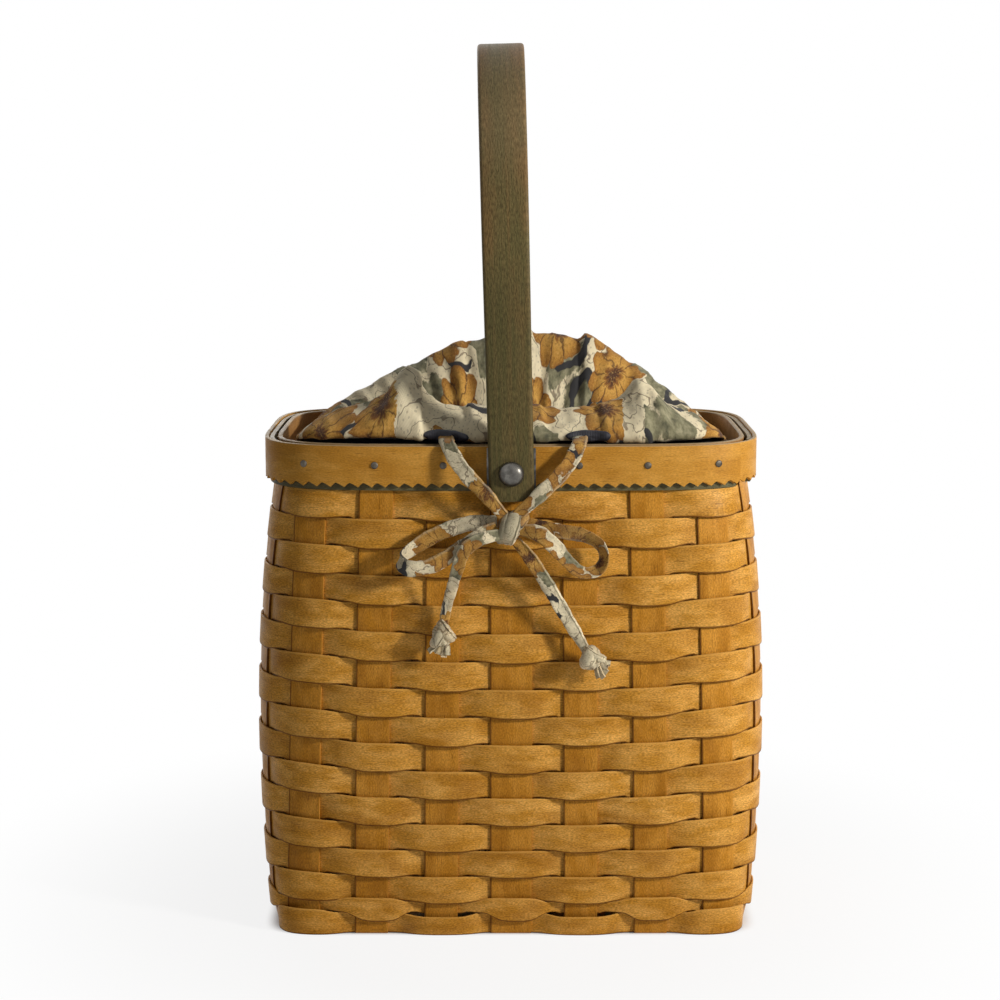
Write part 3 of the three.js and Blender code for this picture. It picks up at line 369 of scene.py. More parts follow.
class Paint(Nodes):
    """One material, built round its shader."""

    def __init__(self, name, roughness, metallic=0.0, coat=0.0, specular=0.4):
        self.material = bpy.data.materials.new(name)
        self.material.use_nodes = True
        super().__init__(self.material.node_tree)
        self.shader = self.tree.nodes["Principled BSDF"]
        self.set("Roughness", roughness)
        self.set("Metallic", metallic)
        self.set("Coat Weight", coat)
        self.set("Coat Roughness", COAT_ROUGHNESS)
        self.set("Specular IOR Level", specular)

    def set(self, name, value):
        self.feed(self.shader.inputs[name], value)

    def attribute(self, name):
        return self.node("Attribute", attribute_name=name).outputs["Vector"]

    def where(self):
        return self.node("TexCoord").outputs["Object"]

    def part(self, vector, axis):
        return self.node("SeparateXYZ", {0: vector}).outputs[axis]

    def vector(self, operation, a, b):
        return self.node("VectorMath", {0: a, 1: b}, operation=operation).outputs[0]

    def scaled(self, vector, scale):
        return self.vector("MULTIPLY", vector, scale)

    def added(self, vector, other):
        return self.vector("ADD", vector, other)

    def times(self, a, b):
        return self.math("MULTIPLY", a, b)

    def plus(self, a, b):
        return self.math("ADD", a, b)

    def off(self, value, middle):
        """How far a value is from a middle, either way."""
        return self.math("ABSOLUTE", self.math("SUBTRACT", value, middle))

    def waves(self, value, pitch):
        return self.math("SINE", self.times(value, 2 * math.pi / pitch))

    def noise(self, vector, scale, detail=3.0, roughness=0.5, output="Fac"):
        inputs = {"Vector": vector, "Scale": scale, "Detail": detail, "Roughness": roughness}
        return self.node("TexNoise", inputs).outputs[output]

    def streaks(self, grain, along, across, detail, roughness):
        """Noise with its own scale along and across the grain."""
        return self.noise(self.scaled(grain, (along, across, 1)), 1, detail, roughness)

    def cells(self, vector, scale, randomness=1.0):
        inputs = {"Vector": vector, "Scale": scale, "Randomness": randomness}
        return self.node("TexVoronoi", inputs, voronoi_dimensions="2D").outputs

    def step(self, value, low, high, to_low=0.0, to_high=1.0):
        inputs = {"Value": value, "From Min": low, "From Max": high, "To Min": to_low, "To Max": to_high}
        return self.node("MapRange", inputs, interpolation_type="SMOOTHSTEP").outputs[0]

    def blend(self, factor, a, b, mode="MIX"):
        made = self.node("Mix", {0: factor, 6: a, 7: b}, data_type="RGBA", blend_type=mode)
        return made.outputs[2]

    def layers(self, base, *layers):
        """Colours over a base; each has a field, the values where it starts and is full, and a strength."""
        for colour, field, start, full, strength in layers:
            base = self.blend(self.step(field, start, full, 0, strength), base, colour)
        return base

    def ramp(self, factor, *stops):
        made = self.node("ValToRGB", {"Fac": factor})
        elements = made.color_ramp.elements
        for position, _ in stops[1:-1]:
            elements.new(position)
        for element, (position, colour) in zip(elements, stops):
            element.position = position
            element.color = (*colour, 1)
        return made.outputs["Color"]

    def bump(self, height, distance, strength=1.0):
        inputs = {"Height": height, "Distance": distance, "Strength": strength}
        self.set("Normal", self.node("Bump", inputs).outputs[0])


def wood(name, light, mid, dark, pores_and_shade, contrast=1.0):
    """Varnished splint: grain runs along the first number of the attribute grain."""
    paint = Paint(name, WOOD_ROUGHNESS, coat=WOOD_COAT, specular=WOOD_SPECULAR)
    grain, place = paint.attribute("grain"), paint.attribute("place")
    dive, edge, cut = (paint.part(place, axis) for axis in "XYZ")
    seeded = paint.added(grain, paint.scaled(grain, (0, 0, SEED_SPREAD)))
    noises = (FIBRES, BANDS, FIGURE, PATCHES, SPECKLE, FLECKS)
    fibres, bands, figure, patches, speckle, flecks = (paint.streaks(seeded, *scales) for scales in noises)
    seed = paint.part(grain, "Z")
    tone = paint.node("TexWhiteNoise", {"W": seed}, noise_dimensions="1D").outputs["Value"]
    base = paint.layers(mid, (light, figure, 0.34, 0.66, 1), (dark, fibres, 0.46, 0.72, 0.26),
                        (dark, bands, 0.52, 0.8, 0.3), (dark, patches, 0.44, 0.7, 0.65),
                        (mid, tone, 0, 1, 0.3))
    grit = WOOD_GRIT * contrast
    base = paint.blend(1.0, base, paint.step(speckle, 0.25, 0.75, 1 - grit, 1 + grit), "MULTIPLY")
    # Painted highlight on one edge, painted shade on the other, and stain plus painted shade in dives
    base = paint.layers(base, (pores_and_shade, flecks, 0.62, 0.76, 0.5), (light, edge, 0.86, 0.98, 0.5),
                        (pores_and_shade, edge, -0.88, -0.98, 0.8), (pores_and_shade, dive, -0.8, -0.98, 0.6))
    paint.set("Base Color", paint.blend(paint.times(cut, 0.8), base, END_GRAIN))
    paint.set("Roughness", paint.step(figure, 0.2, 0.8, WOOD_ROUGHNESS + 0.12, WOOD_ROUGHNESS - 0.06))
    paint.bump(paint.plus(paint.times(fibres, 0.5), speckle), 0.00012, 0.5)
    return paint.material


def handle_stain():
    """Olive stain wiped over bent wood, browner along the sides of the grip, with a painted highlight on
    the bend and painted shade towards the foot.
    """
    paint = Paint("handle_stain", STAIN_ROUGHNESS, specular=STAIN_SPECULAR)
    grain, place = paint.attribute("grain"), paint.attribute("place")
    grip, side, wear_and_highlight = (paint.part(place, axis) for axis in "XYZ")
    noises = (STAIN_STREAKS, STAIN_BANDS, STAIN_CLOUDS, STAIN_SPECKLE)
    streaks, bands, clouds, speckle = (paint.streaks(grain, *scales) for scales in noises)
    base = paint.layers(MOSS, (OLIVE, streaks, 0.32, 0.7, 1))
    grip_side = paint.times(paint.step(paint.math("ABSOLUTE", side), 0.2, 0.85), grip)
    base = paint.blend(paint.times(grip_side, paint.step(clouds, 0.3, 0.62, 0, 0.9)), base, UMBER)
    base = paint.layers(base, (UMBER, bands, 0.5, 0.75, 0.6), (UMBER, clouds, 0.52, 0.72, 0.4))
    # Painted highlight on the bend below the top
    base = paint.blend(paint.times(wear_and_highlight, 0.3), base, BEND_HIGHLIGHT)
    # Painted shade: darker towards the foot
    base = paint.layers(base, (DARK_FOOT, grip, 0.5, 0, 0.35))
    base = paint.blend(1.0, base, paint.step(speckle, 0.22, 0.78, 0.45, 1.55), "MULTIPLY")
    paint.set("Base Color", base)
    paint.set("Roughness", paint.step(streaks, 0.2, 0.8, STAIN_ROUGHNESS + 0.08, STAIN_ROUGHNESS - 0.05))
    paint.bump(paint.plus(streaks, speckle), 0.0001, 0.5)
    return paint.material


def metal(name, base, worn, roughness, relief=0.00004, metallic=1.0):
    """Dull rolled metal with small pits and worn patches."""
    paint = Paint(name, roughness, metallic=metallic)
    where = paint.where()
    wear_and_highlight = paint.noise(where, 300, 3, 0.6)
    pits = paint.noise(where, 2200, 2, 0.5)
    paint.set("Base Color", paint.layers(base, (worn, wear_and_highlight, 0.35, 0.7, 1)))
    paint.set("Roughness", paint.step(wear_and_highlight, 0.3, 0.75, roughness + 0.06, roughness - 0.05))
    paint.bump(paint.plus(pits, wear_and_highlight), relief, 0.4)
    return paint.material


def printed_cloth(name, scale=1.0, ragged=0.0, patch_tone=1.0):
    """Cream cotton with a loose print of blossoms, dabs, rings and fine lines, in cells per metre."""
    paint = Paint(name, CLOTH_ROUGHNESS)
    paint.set("Sheen Weight", CLOTH_SHEEN)
    flat, place = paint.attribute("cloth"), paint.attribute("place")
    wander = paint.added(paint.noise(flat, 60 * scale, output="Color"), (-0.5, -0.5, -0.5))
    shaken = paint.added(flat, paint.scaled(wander, PRINT_WANDER))
    mottle = paint.noise(flat, 260 * scale, 3, 0.6)
    lines = paint.off(paint.noise(shaken, 75 * scale, 2, 0.5), 0.5)
    speckle = paint.cells(flat, 420 * scale)["Distance"]
    speckled = paint.layers(CREAM, (TEA, mottle, 0.42, 0.75, 0.5), (BROWN, lines, 0.014, 0.006, 0.65),
                            (BROWN, speckle, 0.2, 0.12, 0.3))

    dabs = paint.cells(paint.added(shaken, DAB_SHIFT), 44 * scale)
    dab_edge = paint.plus(dabs["Distance"], paint.times(mottle, 0.3))
    dab_pick = paint.step(paint.part(dabs["Color"], "X"), 0.4, 0.43)
    dab_shade = paint.ramp(mottle, (0.3, DEEP_SAGE), (0.5, SAGE), (0.7, PALE_SAGE))
    base = paint.blend(paint.times(paint.step(dab_edge, 0.62, 0.57), dab_pick), speckled, dab_shade)

    rings = paint.cells(paint.added(shaken, RING_SHIFT), 36 * scale)
    ring_reach = paint.off(rings["Distance"], RING_SIZE)
    ring_pick = paint.step(paint.part(rings["Color"], "Y"), 0.6, 0.62)
    base = paint.blend(paint.times(paint.step(ring_reach, 0.08, 0.055), ring_pick), base, CHARCOAL)

    blossoms = paint.cells(shaken, 30 * scale, 0.75)
    away = paint.vector("SUBTRACT", shaken, blossoms["Position"])
    angle = paint.math("ARCTAN2", paint.part(away, "Y"), paint.part(away, "X"))
    petal = paint.math("ABSOLUTE", paint.math("SINE", paint.times(angle, HALF_PETALS)))
    reach = paint.math("SUBTRACT", blossoms["Distance"], paint.times(petal, PETAL_DEPTH))
    streaks = paint.noise(flat, 900 * scale, 3, 0.6)
    body = paint.ramp(reach, (0.0, BROWN), (0.07, PETAL_ROOT), (0.12, PETAL_LIGHT), (0.3, OCHRE),
                      (0.42, RUST))
    body = paint.layers(body, (BROWN, petal, 0.3, 0.05, 0.75), (BROWN, streaks, 0.48, 0.72, 0.55),
                        (GOLD, streaks, 0.46, 0.3, 0.5))
    blossom_pick = paint.step(paint.part(blossoms["Color"], "Z"), 0.64, 0.62)
    base = paint.blend(paint.times(paint.step(reach, 0.42, 0.4), blossom_pick), base, body)

    plain = paint.part(place, "X")
    if ragged:
        torn = paint.math("SUBTRACT", paint.noise(flat, 240, 4, 0.6), 0.5)
        plain = paint.step(paint.plus(plain, paint.times(torn, ragged)), 0.48, 0.54)
    base = paint.blend(plain, base, speckled)
    # Painted shade: black over the cloth in the gap under the front roll
    base = paint.blend(paint.part(place, "Y"), base, SHADE_BLACK)
    # Darker in patches, down to the given tone
    darker_patches = paint.step(paint.noise(flat, 120, 3, 0.6), 0.3, 0.7, patch_tone, 1)
    paint.set("Base Color", paint.blend(1.0, base, darker_patches, "MULTIPLY"))
    warp, weft = (paint.waves(paint.part(flat, axis), THREAD_PITCH) for axis in "XY")
    paint.bump(paint.plus(paint.times(warp, weft), mottle), 0.00012, 0.4)
    return paint.material


def binding_black():
    """Tight black stitching round the openings for the ties."""
    paint = Paint("binding_black", 0.55)
    where = paint.where()
    stitches = paint.waves(paint.part(where, "X"), STITCH_PITCH)
    fuzz = paint.noise(where, 1800, 2, 0.6)
    paint.set("Base Color", paint.blend(fuzz, *STITCH_BLACKS))
    paint.bump(paint.plus(stitches, fuzz), 0.00012, 0.35)
    return paint.material


def paper_white():
    """Pale floor that is white to the camera, but for the shadow close round the object and under it."""
    paint = Paint("paper_white", 0.9)
    where = paint.where()
    paint.set("Base Color", paint.blend(paint.noise(where, 3, 2), *(grey(tone) for tone in FLOOR_TONES)))
    away = paint.node("VectorMath", {0: where}, operation="LENGTH").outputs["Value"]
    past_shadow = paint.step(away, *SHADOW_REACH, SHADOW_GLOW, 1)
    powers = []
    for axis, size in (("X", BASE_WIDTH), ("Y", BASE_DEPTH)):
        share = paint.math("ABSOLUTE", paint.math("DIVIDE", paint.part(where, axis), size / 2 * MM))
        powers.append(paint.math("POWER", share, BASE_SQUARENESS))
    outward = paint.math("POWER", paint.plus(*powers), 1 / BASE_SQUARENESS)
    white = paint.times(past_shadow, paint.step(outward, *UNDER_BASE))
    glow = paint.node("Emission", {"Color": grey(1.0), "Strength": 1.0})
    paint.surface("Material Output", paint.times(paint.seen_directly(), white), paint.shader, glow)
    return paint.material


# Light, middle and dark tone of each wood, its pores and painted shade, and the strength of its grit
HONEY = wood("honey_splint", (0.67, 0.355, 0.082), (0.48, 0.222, 0.027), (0.28, 0.106, 0.007),
             (0.075, 0.018, 0.001))
AMBER = wood("amber_splint", (0.54, 0.25, 0.036), (0.44, 0.188, 0.018), (0.27, 0.1, 0.007),
             (0.06, 0.016, 0.002), 0.8)
RIM_WOOD = wood("rim_maple", (0.57, 0.29, 0.056), (0.48, 0.226, 0.032), (0.35, 0.147, 0.014),
                (0.11, 0.032, 0.004), 0.5)
INNER_WOOD = wood("inner_band_stain", (0.42, 0.22, 0.075), (0.33, 0.16, 0.05), (0.19, 0.085, 0.025),
                  (0.06, 0.024, 0.007), 0.6)
TRIM_WOOD = wood("olive_trim", (0.14, 0.122, 0.062), (0.095, 0.083, 0.04), (0.05, 0.043, 0.02),
                 (0.016, 0.014, 0.006), 0.6)
HANDLE_WOOD = handle_stain()
PEWTER = metal("pewter", (0.075, 0.07, 0.062), (0.16, 0.151, 0.134), 0.29, 0.00003, 0.85)
TACK_STEEL = metal("tack_steel", (0.062, 0.053, 0.042), (0.125, 0.109, 0.087), 0.55)
DULL_STEEL = metal("dull_steel", (0.07, 0.067, 0.062), (0.17, 0.163, 0.152), 0.4)
LINER_CLOTH = printed_cloth("liner_cloth", ragged=1.4)
TIE_CLOTH = printed_cloth("tie_cloth", 1.6, patch_tone=0.62)
BINDING = binding_black()


# Meshes

def add_object(name, data):
    made = bpy.data.objects.new(name, data)
    bpy.context.scene.collection.objects.link(made)
    return made


def make_piece(name, points, material, faces=None, is_hoop=False, sharp=38, body="basket", slot=None,
               node=None, **attributes):
    """A closed mesh from rings of points in millimetres, riding on a body and standing for a CAD node."""
    mesh = bpy.data.meshes.new(name)
    faces = faces or sweep_faces(*points.shape[:2], is_hoop)
    mesh.from_pydata((points.reshape(-1, 3) * MM).tolist(), [], faces)
    for key, values in attributes.items():
        made = mesh.attributes.new(key, "FLOAT_VECTOR", "POINT")
        made.data.foreach_set("vector", values.astype(np.float32).ravel())
    work = bmesh.new()
    work.from_mesh(mesh)
    bmesh.ops.recalc_face_normals(work, faces=work.faces)
    work.to_mesh(mesh)
    work.free()
    mesh.shade_smooth()
    mesh.set_sharp_from_angle(angle=math.radians(sharp))
    mesh.materials.append(material)
    piece = add_object(name, mesh)
    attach(piece, body)
    if node:
        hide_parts(node)
    return piece


def sweep_faces(rings, corners, is_hoop=False):
    """Faces through rings of corners, either closed by two ends or joined up as a hoop."""
    near = np.arange(rings if is_hoop else rings - 1)[:, None]
    far = (near + 1) % rings
    corner = np.arange(corners)[None, :]
    after = (corner + 1) % corners
    quads = [(near, corner), (near, after), (far, after), (far, corner)]
    quads = np.broadcast_arrays(*(ring * corners + place for ring, place in quads))
    faces = np.stack(quads, axis=-1).reshape(-1, 4).tolist()
    if not is_hoop:
        faces.append(list(range(corners)))
        faces.append(list(range((rings - 1) * corners, rings * corners)))
    return faces


def lathe(profile, sides, start, axis):
    """Rings of a turned piece from (radius, distance along the axis) pairs off the axis."""
    axis = unit(np.asarray(axis, float))
    side = unit(np.cross(axis, (0, 0, 1)))
    up = np.cross(side, axis)
    turns = np.arange(sides) * 2 * math.pi / sides
    spokes = np.outer(np.cos(turns), side) + np.outer(np.sin(turns), up)
    return np.array([start + axis * reach + spokes * radius for radius, reach in profile])


# Wall

def wall_size(z):
    share = np.minimum(1, z / WEAVE_TOP)
    swell = 4 * share * (1 - share)
    half_width = mix(BASE_WIDTH, TOP_WIDTH, share) / 2 + SIDE_SWELL * swell
    half_depth = mix(BASE_DEPTH, TOP_DEPTH, share) / 2 + FRONT_SWELL * swell
    near_base = (BASE_SQUARENESS - MID_SQUARENESS) * np.exp(-z / SQUARENESS_FADE)
    return half_width, half_depth, mix(MID_SQUARENESS, TOP_SQUARENESS, share**2) + near_base


def wall_point(angle, z):
    """Points of the wall's middle surface and its outward normals, at polar angles and heights."""
    angle, z = np.broadcast_arrays(np.asarray(angle, float), np.asarray(z, float))
    a, b, n = wall_size(z)
    reach = (np.abs(np.cos(angle) / a) ** n + np.abs(np.sin(angle) / b) ** n) ** (-1 / n)
    x, y = reach * np.cos(angle), reach * np.sin(angle)
    slope_x = np.sign(x) * np.abs(x / a) ** (n - 1) / a
    slope_y = np.sign(y) * np.abs(y / b) ** (n - 1) / b
    return vectors(x, y, z), unit(vectors(slope_x, slope_y, 0))


def pushed(angle, z, distance):
    points, normals = wall_point(angle, z)
    return points + normals * np.broadcast_to(distance, points.shape[:-1])[..., None]


def angle_by_length(z, start):
    """Functions from polar angle to length round the wall and back from a start, and the whole length."""
    angles = start + np.linspace(0, 2 * math.pi, LENGTH_SAMPLES)
    lengths = run_along(wall_point(angles, z)[0])

    def to_length(angle):
        return np.interp(angle, angles, lengths)

    def to_angle(length):
        return np.interp(length, lengths, angles)

    return to_length, to_angle, lengths[-1]


def cross_x(place, z):
    return place * mix(*CROSS_PITCHES, np.minimum(1, z / WEAVE_TOP))


def long_y(place, z):
    return place * mix(*LONG_PITCHES, np.minimum(1, z / WEAVE_TOP))


def front_angle(x, side, z):
    a, b, n = wall_size(z)
    return np.arctan2(side * b * (1 - np.abs(x / a) ** n) ** (1 / n), x)


def end_angle(y, side, z):
    a, b, n = wall_size(z)
    return np.arctan2(y, side * a * (1 - np.abs(y / b) ** n) ** (1 / n))


def upright_angles(z):
    """Polar angles of the uprights at a height, in the order that a weaver passes them."""
    front = front_angle(cross_x(CROSS_PLACES, z), -1, z)
    right = end_angle(long_y(LONG_PLACES, z), 1, z)
    back = front_angle(cross_x(CROSS_PLACES[::-1], z), 1, z)
    left = end_angle(long_y(LONG_PLACES[::-1], z), -1, z)
    return np.unwrap(np.concatenate([front, right, back, left]))


SIDE_RISES = CORNER_RISE * np.abs(CROSS_PLACES / CROSS_PLACES[-1]) ** 3
END_RISES = np.full(len(LONG_PLACES), END_RISE)
RISES = np.concatenate([SIDE_RISES, END_RISES, SIDE_RISES, END_RISES])


def risen(z, rise):
    share = np.clip(z / WEAVE_TOP, 0, 1)
    return z + rise * 4 * share * (1 - share)


# Weavers

def row_top(row):
    full = min(row, FULL_ROWS)
    return WEAVE_TOP - full * ROW_PITCH - (row - full) * NARROW_PITCH


def weave_stations(row, height):
    """Polar angle, phase, rise and length at each station of a row, from a place hidden at the back."""
    knots = upright_angles(height)
    count = len(knots)
    to_length, to_angle, total = angle_by_length(height, knots[0])
    lengths = np.append(to_length(knots), total)
    first = HIDDEN_START - row % 2
    order = np.arange(first, first + count)
    share = np.arange(STATIONS_PER_UPRIGHT) / STATIONS_PER_UPRIGHT
    here, after = order % count, order % count + 1
    length = mix(lengths[here][:, None], lengths[after][:, None], share)
    rise = mix(RISES[here][:, None], RISES[after % count][:, None], smooth(0, 1, share))
    phase = (order[:, None] + share) * math.pi
    run = (length - lengths[here[0]]) % total
    return to_angle(length.ravel()), phase.ravel(), rise.ravel(), run.ravel()


def weaver(row):
    """One row, over one upright and behind the next, all the way round."""
    rng = np.random.default_rng(WEAVER_SEED + row)
    is_floor_row = row == ALL_ROWS - 1
    top, foot = row_top(row), row_top(row + 1) + ROW_GAP
    middle = (top + foot) / 2
    angle, phase, rise, run = weave_stations(row, middle)
    turn = phase + math.pi * row
    wave = np.cos(turn)
    wave = wave + WAVE_LIFT * (1 - wave**2)
    wave = wave * (1 + WAVE_FULLNESS * (1 - wave**2))
    _, normal = wall_point(angle, middle)
    sideways = np.abs(normal[:, 0])
    at_end = smooth(*END_FACING, sideways)
    swing = mix(1, END_SWING, at_end) * (FLOOR_ROW_SWING if is_floor_row else 1)
    in_swing = IN_SWING + (FLOOR_ROW_DRAW * END_FOOT_DRAW * at_end if is_floor_row else 0)
    drift = SWING_DRIFT * np.sin(phase * SWING_RATE + rng.uniform(*PHASES))
    sway = 1 + drift + rng.uniform(-SWING_SPREAD, SWING_SPREAD)
    depth = np.where(wave > 0, OUT_SWING * sway * swing, in_swing) * wave

    lap_up, lap_down = BASE_ROW_LAPS.get(row, ROW_LAP)
    lap = smooth(*LAP_RANGE, wave)
    sag = smooth(*SAG_RANGE, np.cos(turn - LAP_LAG))
    tuck = TUCK * smooth(*TUCK_RANGE, wave)
    wander = EDGE_DRIFT * np.sin(phase * EDGE_RATE + rng.uniform(*PHASES)) * lap
    high = np.minimum(risen(top, rise) + lap * lap_up + wander + tuck, TOP_ROW_LIMIT)
    if row in BASE_ROW_LAPS:
        lap_down = lap_down * mix(1, BASE_END_LAP, smooth(*BASE_END_FACING, sideways))
    low = risen(foot, rise) - sag * lap_down + wander - tuck
    if is_floor_row:
        low = np.full_like(wave, FLOOR_ROW_FOOT)
        high = high + lap * FLOOR_ROW_CORNER * smooth(*CORNER_RISES, rise) + FLOOR_ROW_END * at_end

    half, bevel = WEAVER_THICK / 2, EDGE_ROUND
    lower = np.array([(bevel, -half), (0, bevel - half), (0, half - bevel), (bevel, half)])
    shift, face = np.concatenate([lower, -lower]).T
    edge = np.repeat((0, 1), len(lower))
    z = mix(low[:, None], high[:, None], edge) + shift
    # place: the weaver's swing, and its lower and upper edges for painted shade and painted highlight
    make_piece(f"woven_row_{row + 1:02d}", pushed(angle[:, None], z, depth[:, None] + face), HONEY,
               is_hoop=True, slot="weaver_splint", node=f"weaver_{row + 1:02d}",
               grain=vectors(run[:, None] * MM, (z - middle) * MM, row + 1),
               place=vectors(wave[:, None], 2 * edge - 1, 0))


# Uprights

def wall_sections(angle_at, order, across, width, draw):
    """Curved sections of an upright down a wall, from its top to the bend at the floor."""
    heights = np.linspace(SPLINT_TOP, LOW_LEVEL + SPLINT_BEND, WALL_STATIONS)
    centre, normal = wall_point(angle_at(heights), heights)
    along = vectors(-normal[:, 1], normal[:, 0], 0)
    along *= np.sign(along @ across)[:, None]
    row = (WEAVE_TOP - heights) / ROW_PITCH - 0.5
    fade = smooth(*SWAY_START, heights) * smooth(*SWAY_STOP, heights)
    sway = -SPLINT_SWAY * np.cos(math.pi * (order + row)) * fade - draw * smooth(END_FOOT_RISE, 0, heights)
    beside = centre[:, None] + along[:, None] * (COLUMNS * width / 2)[:, None]
    angles = np.arctan2(beside[..., 1], beside[..., 0])
    half = SPLINT_THICK / 2
    outer, inner = (pushed(angles, heights[:, None], sway[:, None] + face) for face in (half, -half))
    return np.concatenate([outer, inner[:, ::-1]], axis=1)


def foot_bows(foot, inward, across, width):
    """How far the wall's corner bends a foot inward, at each column of an upright."""
    beside = foot + np.outer(COLUMNS * width / 2, across)
    on_wall, _ = wall_point(np.arctan2(beside[:, 1], beside[:, 0]), foot[2])
    lag = np.maximum((on_wall - foot) @ inward, 0)
    return np.outer(FOOT_BOW * (lag - lag.min()), inward)


def flat_sections(stations, bows, across, width):
    """Sections of an upright through the bends, bowed with the wall, and flat over the floor."""
    run = unit(np.gradient(stations, axis=0))
    out = np.cross(across, run)
    out *= np.where(out[:, 2] > 0, -1, 1)[:, None]
    middle = stations[:, None] + np.outer(COLUMNS * width / 2, across) + bows
    lift = out[:, None] * SPLINT_THICK / 2
    return np.concatenate([middle + lift, (middle - lift)[:, ::-1]], axis=1)


def bend_stations(foot, inward):
    angles = np.arange(1, BEND_STEPS + 1) / BEND_STEPS * math.pi / 2
    drop = np.outer(np.sin(angles), (0, 0, -SPLINT_BEND))
    return foot + np.outer(1 - np.cos(angles), inward) * SPLINT_BEND + drop


def upright(kind, index, angles, orders, across, crossings, width, seed, draw=0):
    """One splint: down one wall, across the floor over and under its neighbours, and up the other."""
    walls, bends, bows = [], [], []
    foot = LOW_LEVEL + SPLINT_BEND
    for angle_at, order in zip(angles, orders):
        walls.append(wall_sections(angle_at, order, across, width, draw))
        point, normal = wall_point(angle_at(foot), foot)
        inward = unit(-normal - across * (-normal @ across))
        bows.append(foot_bows(point, inward, across, width))
        bends.append(bend_stations(point - normal * draw * smooth(END_FOOT_RISE, 0, foot), inward))
    ahead = np.abs(unit(bends[1][-1] - bends[0][-1]) * (1, 1, 0))
    base = bends[0][-1] * (1 - ahead)
    floor = []
    for at, other_width, level in crossings:
        for side in (-1, 1):
            reach = at + side * (other_width / 2 + FLAT_RUN)
            floor.append(base + ahead * reach + (0, 0, level - base[2]))
    path = np.concatenate([bends[0], floor, bends[1][::-1]])
    no_bow = np.zeros_like(bows[0])
    bowed = np.array([bows[0]] * len(bends[0]) + [no_bow] * len(floor) + [bows[1]] * len(bends[1]))
    points = np.concatenate([walls[0], flat_sections(path, bowed, across, width), walls[1][::-1]])
    run = run_along(points.mean(axis=1))[:, None]
    columns = np.concatenate([COLUMNS, COLUMNS[::-1]])
    # place: the splint's long edges, for painted shade on one and painted highlight on the other
    make_piece(f"upright_{kind}_{index + 1}", points, AMBER, slot="upright_splint",
               node=f"splint_{kind}_{index + 1}", grain=vectors(run * MM, columns * width / 2 * MM, seed),
               place=vectors(np.ones_like(run), columns, 0))


def floor_levels(cross_index, long_index):
    """Heights of a cross splint and a long one where they meet on the floor."""
    if (cross_index + long_index) % 2 == 0:
        return LOW_LEVEL, HIGH_LEVEL
    return HIGH_LEVEL, LOW_LEVEL


def cross_width(place):
    return CENTRE_WIDTH if place == 0 else SPLINT_WIDTH


def uprights():
    """All uprights, each with its two places in the order that a weaver passes them."""
    crosses, longs = len(CROSS_PLACES), len(LONG_PLACES)
    for index, place in enumerate(CROSS_PLACES):
        crossings = [(long_y(other, 0), SPLINT_WIDTH, floor_levels(index, order)[0])
                     for order, other in enumerate(LONG_PLACES)]
        angles = [lambda z, p=place, s=side: front_angle(cross_x(p, z), s, z) for side in (-1, 1)]
        orders = (index, 2 * crosses + longs - 1 - index)
        upright("cross", index, angles, orders, np.array([1.0, 0, 0]), crossings, cross_width(place),
                CROSS_SEED + index)
    for index, place in enumerate(LONG_PLACES):
        crossings = [(cross_x(other, 0), cross_width(other), floor_levels(order, index)[1])
                     for order, other in enumerate(CROSS_PLACES)]
        angles = [lambda z, p=place, s=side: end_angle(long_y(p, z), s, z) for side in (-1, 1)]
        orders = (2 * (crosses + longs) - 1 - index, crosses + index)
        is_corner = index in (0, longs - 1)
        upright("long", index, angles, orders, np.array([0, 1.0, 0]), crossings, SPLINT_WIDTH,
                LONG_SEED + index, END_FOOT_DRAW if is_corner else 0)


# Rim bands

def rim_band(kind, slot, material, run, angle, inside, outside, top, foot, seed, rounding, is_hoop=False):
    """A band round the rim between two distances from the wall, with a rounded upper edge."""
    cut = rounding * ROUND_CUT
    outline = [
        (inside, foot), (outside, foot), (outside, top - rounding), (outside - cut, top - cut),
        (outside - rounding, top), (inside + rounding, top), (inside + cut, top - cut),
        (inside, top - rounding),
    ]
    sides = [[np.broadcast_to(value, angle.shape) for value in corner] for corner in outline]
    distance, z = np.transpose(sides, (1, 2, 0))
    base, normal = wall_point(angle, BODY_HEIGHT)
    points = (base * (1, 1, 0))[:, None] + normal[:, None] * distance[..., None] + z[..., None] * (0, 0, 1)
    make_piece(f"band_{kind}", points, material, is_hoop=is_hoop, slot=slot, node=f"rim_band_{kind}",
               grain=vectors(run[:, None] * MM, (z + distance) * MM, seed),
               place=vectors(np.ones_like(z), 0, [0, 0, 0, 1, 1, 1, 1, 0]))


def tooth_edge(run):
    """Height of a pinked edge above the tips of its teeth."""
    share = (run / TOOTH_PITCH) % 1
    rising = np.where(share < TOOTH_LEAN, share / TOOTH_LEAN, (1 - share) / (1 - TOOTH_LEAN))
    return TOOTH_DEPTH * mix(rising, np.sin(rising * math.pi / 2), TOOTH_ROUND)


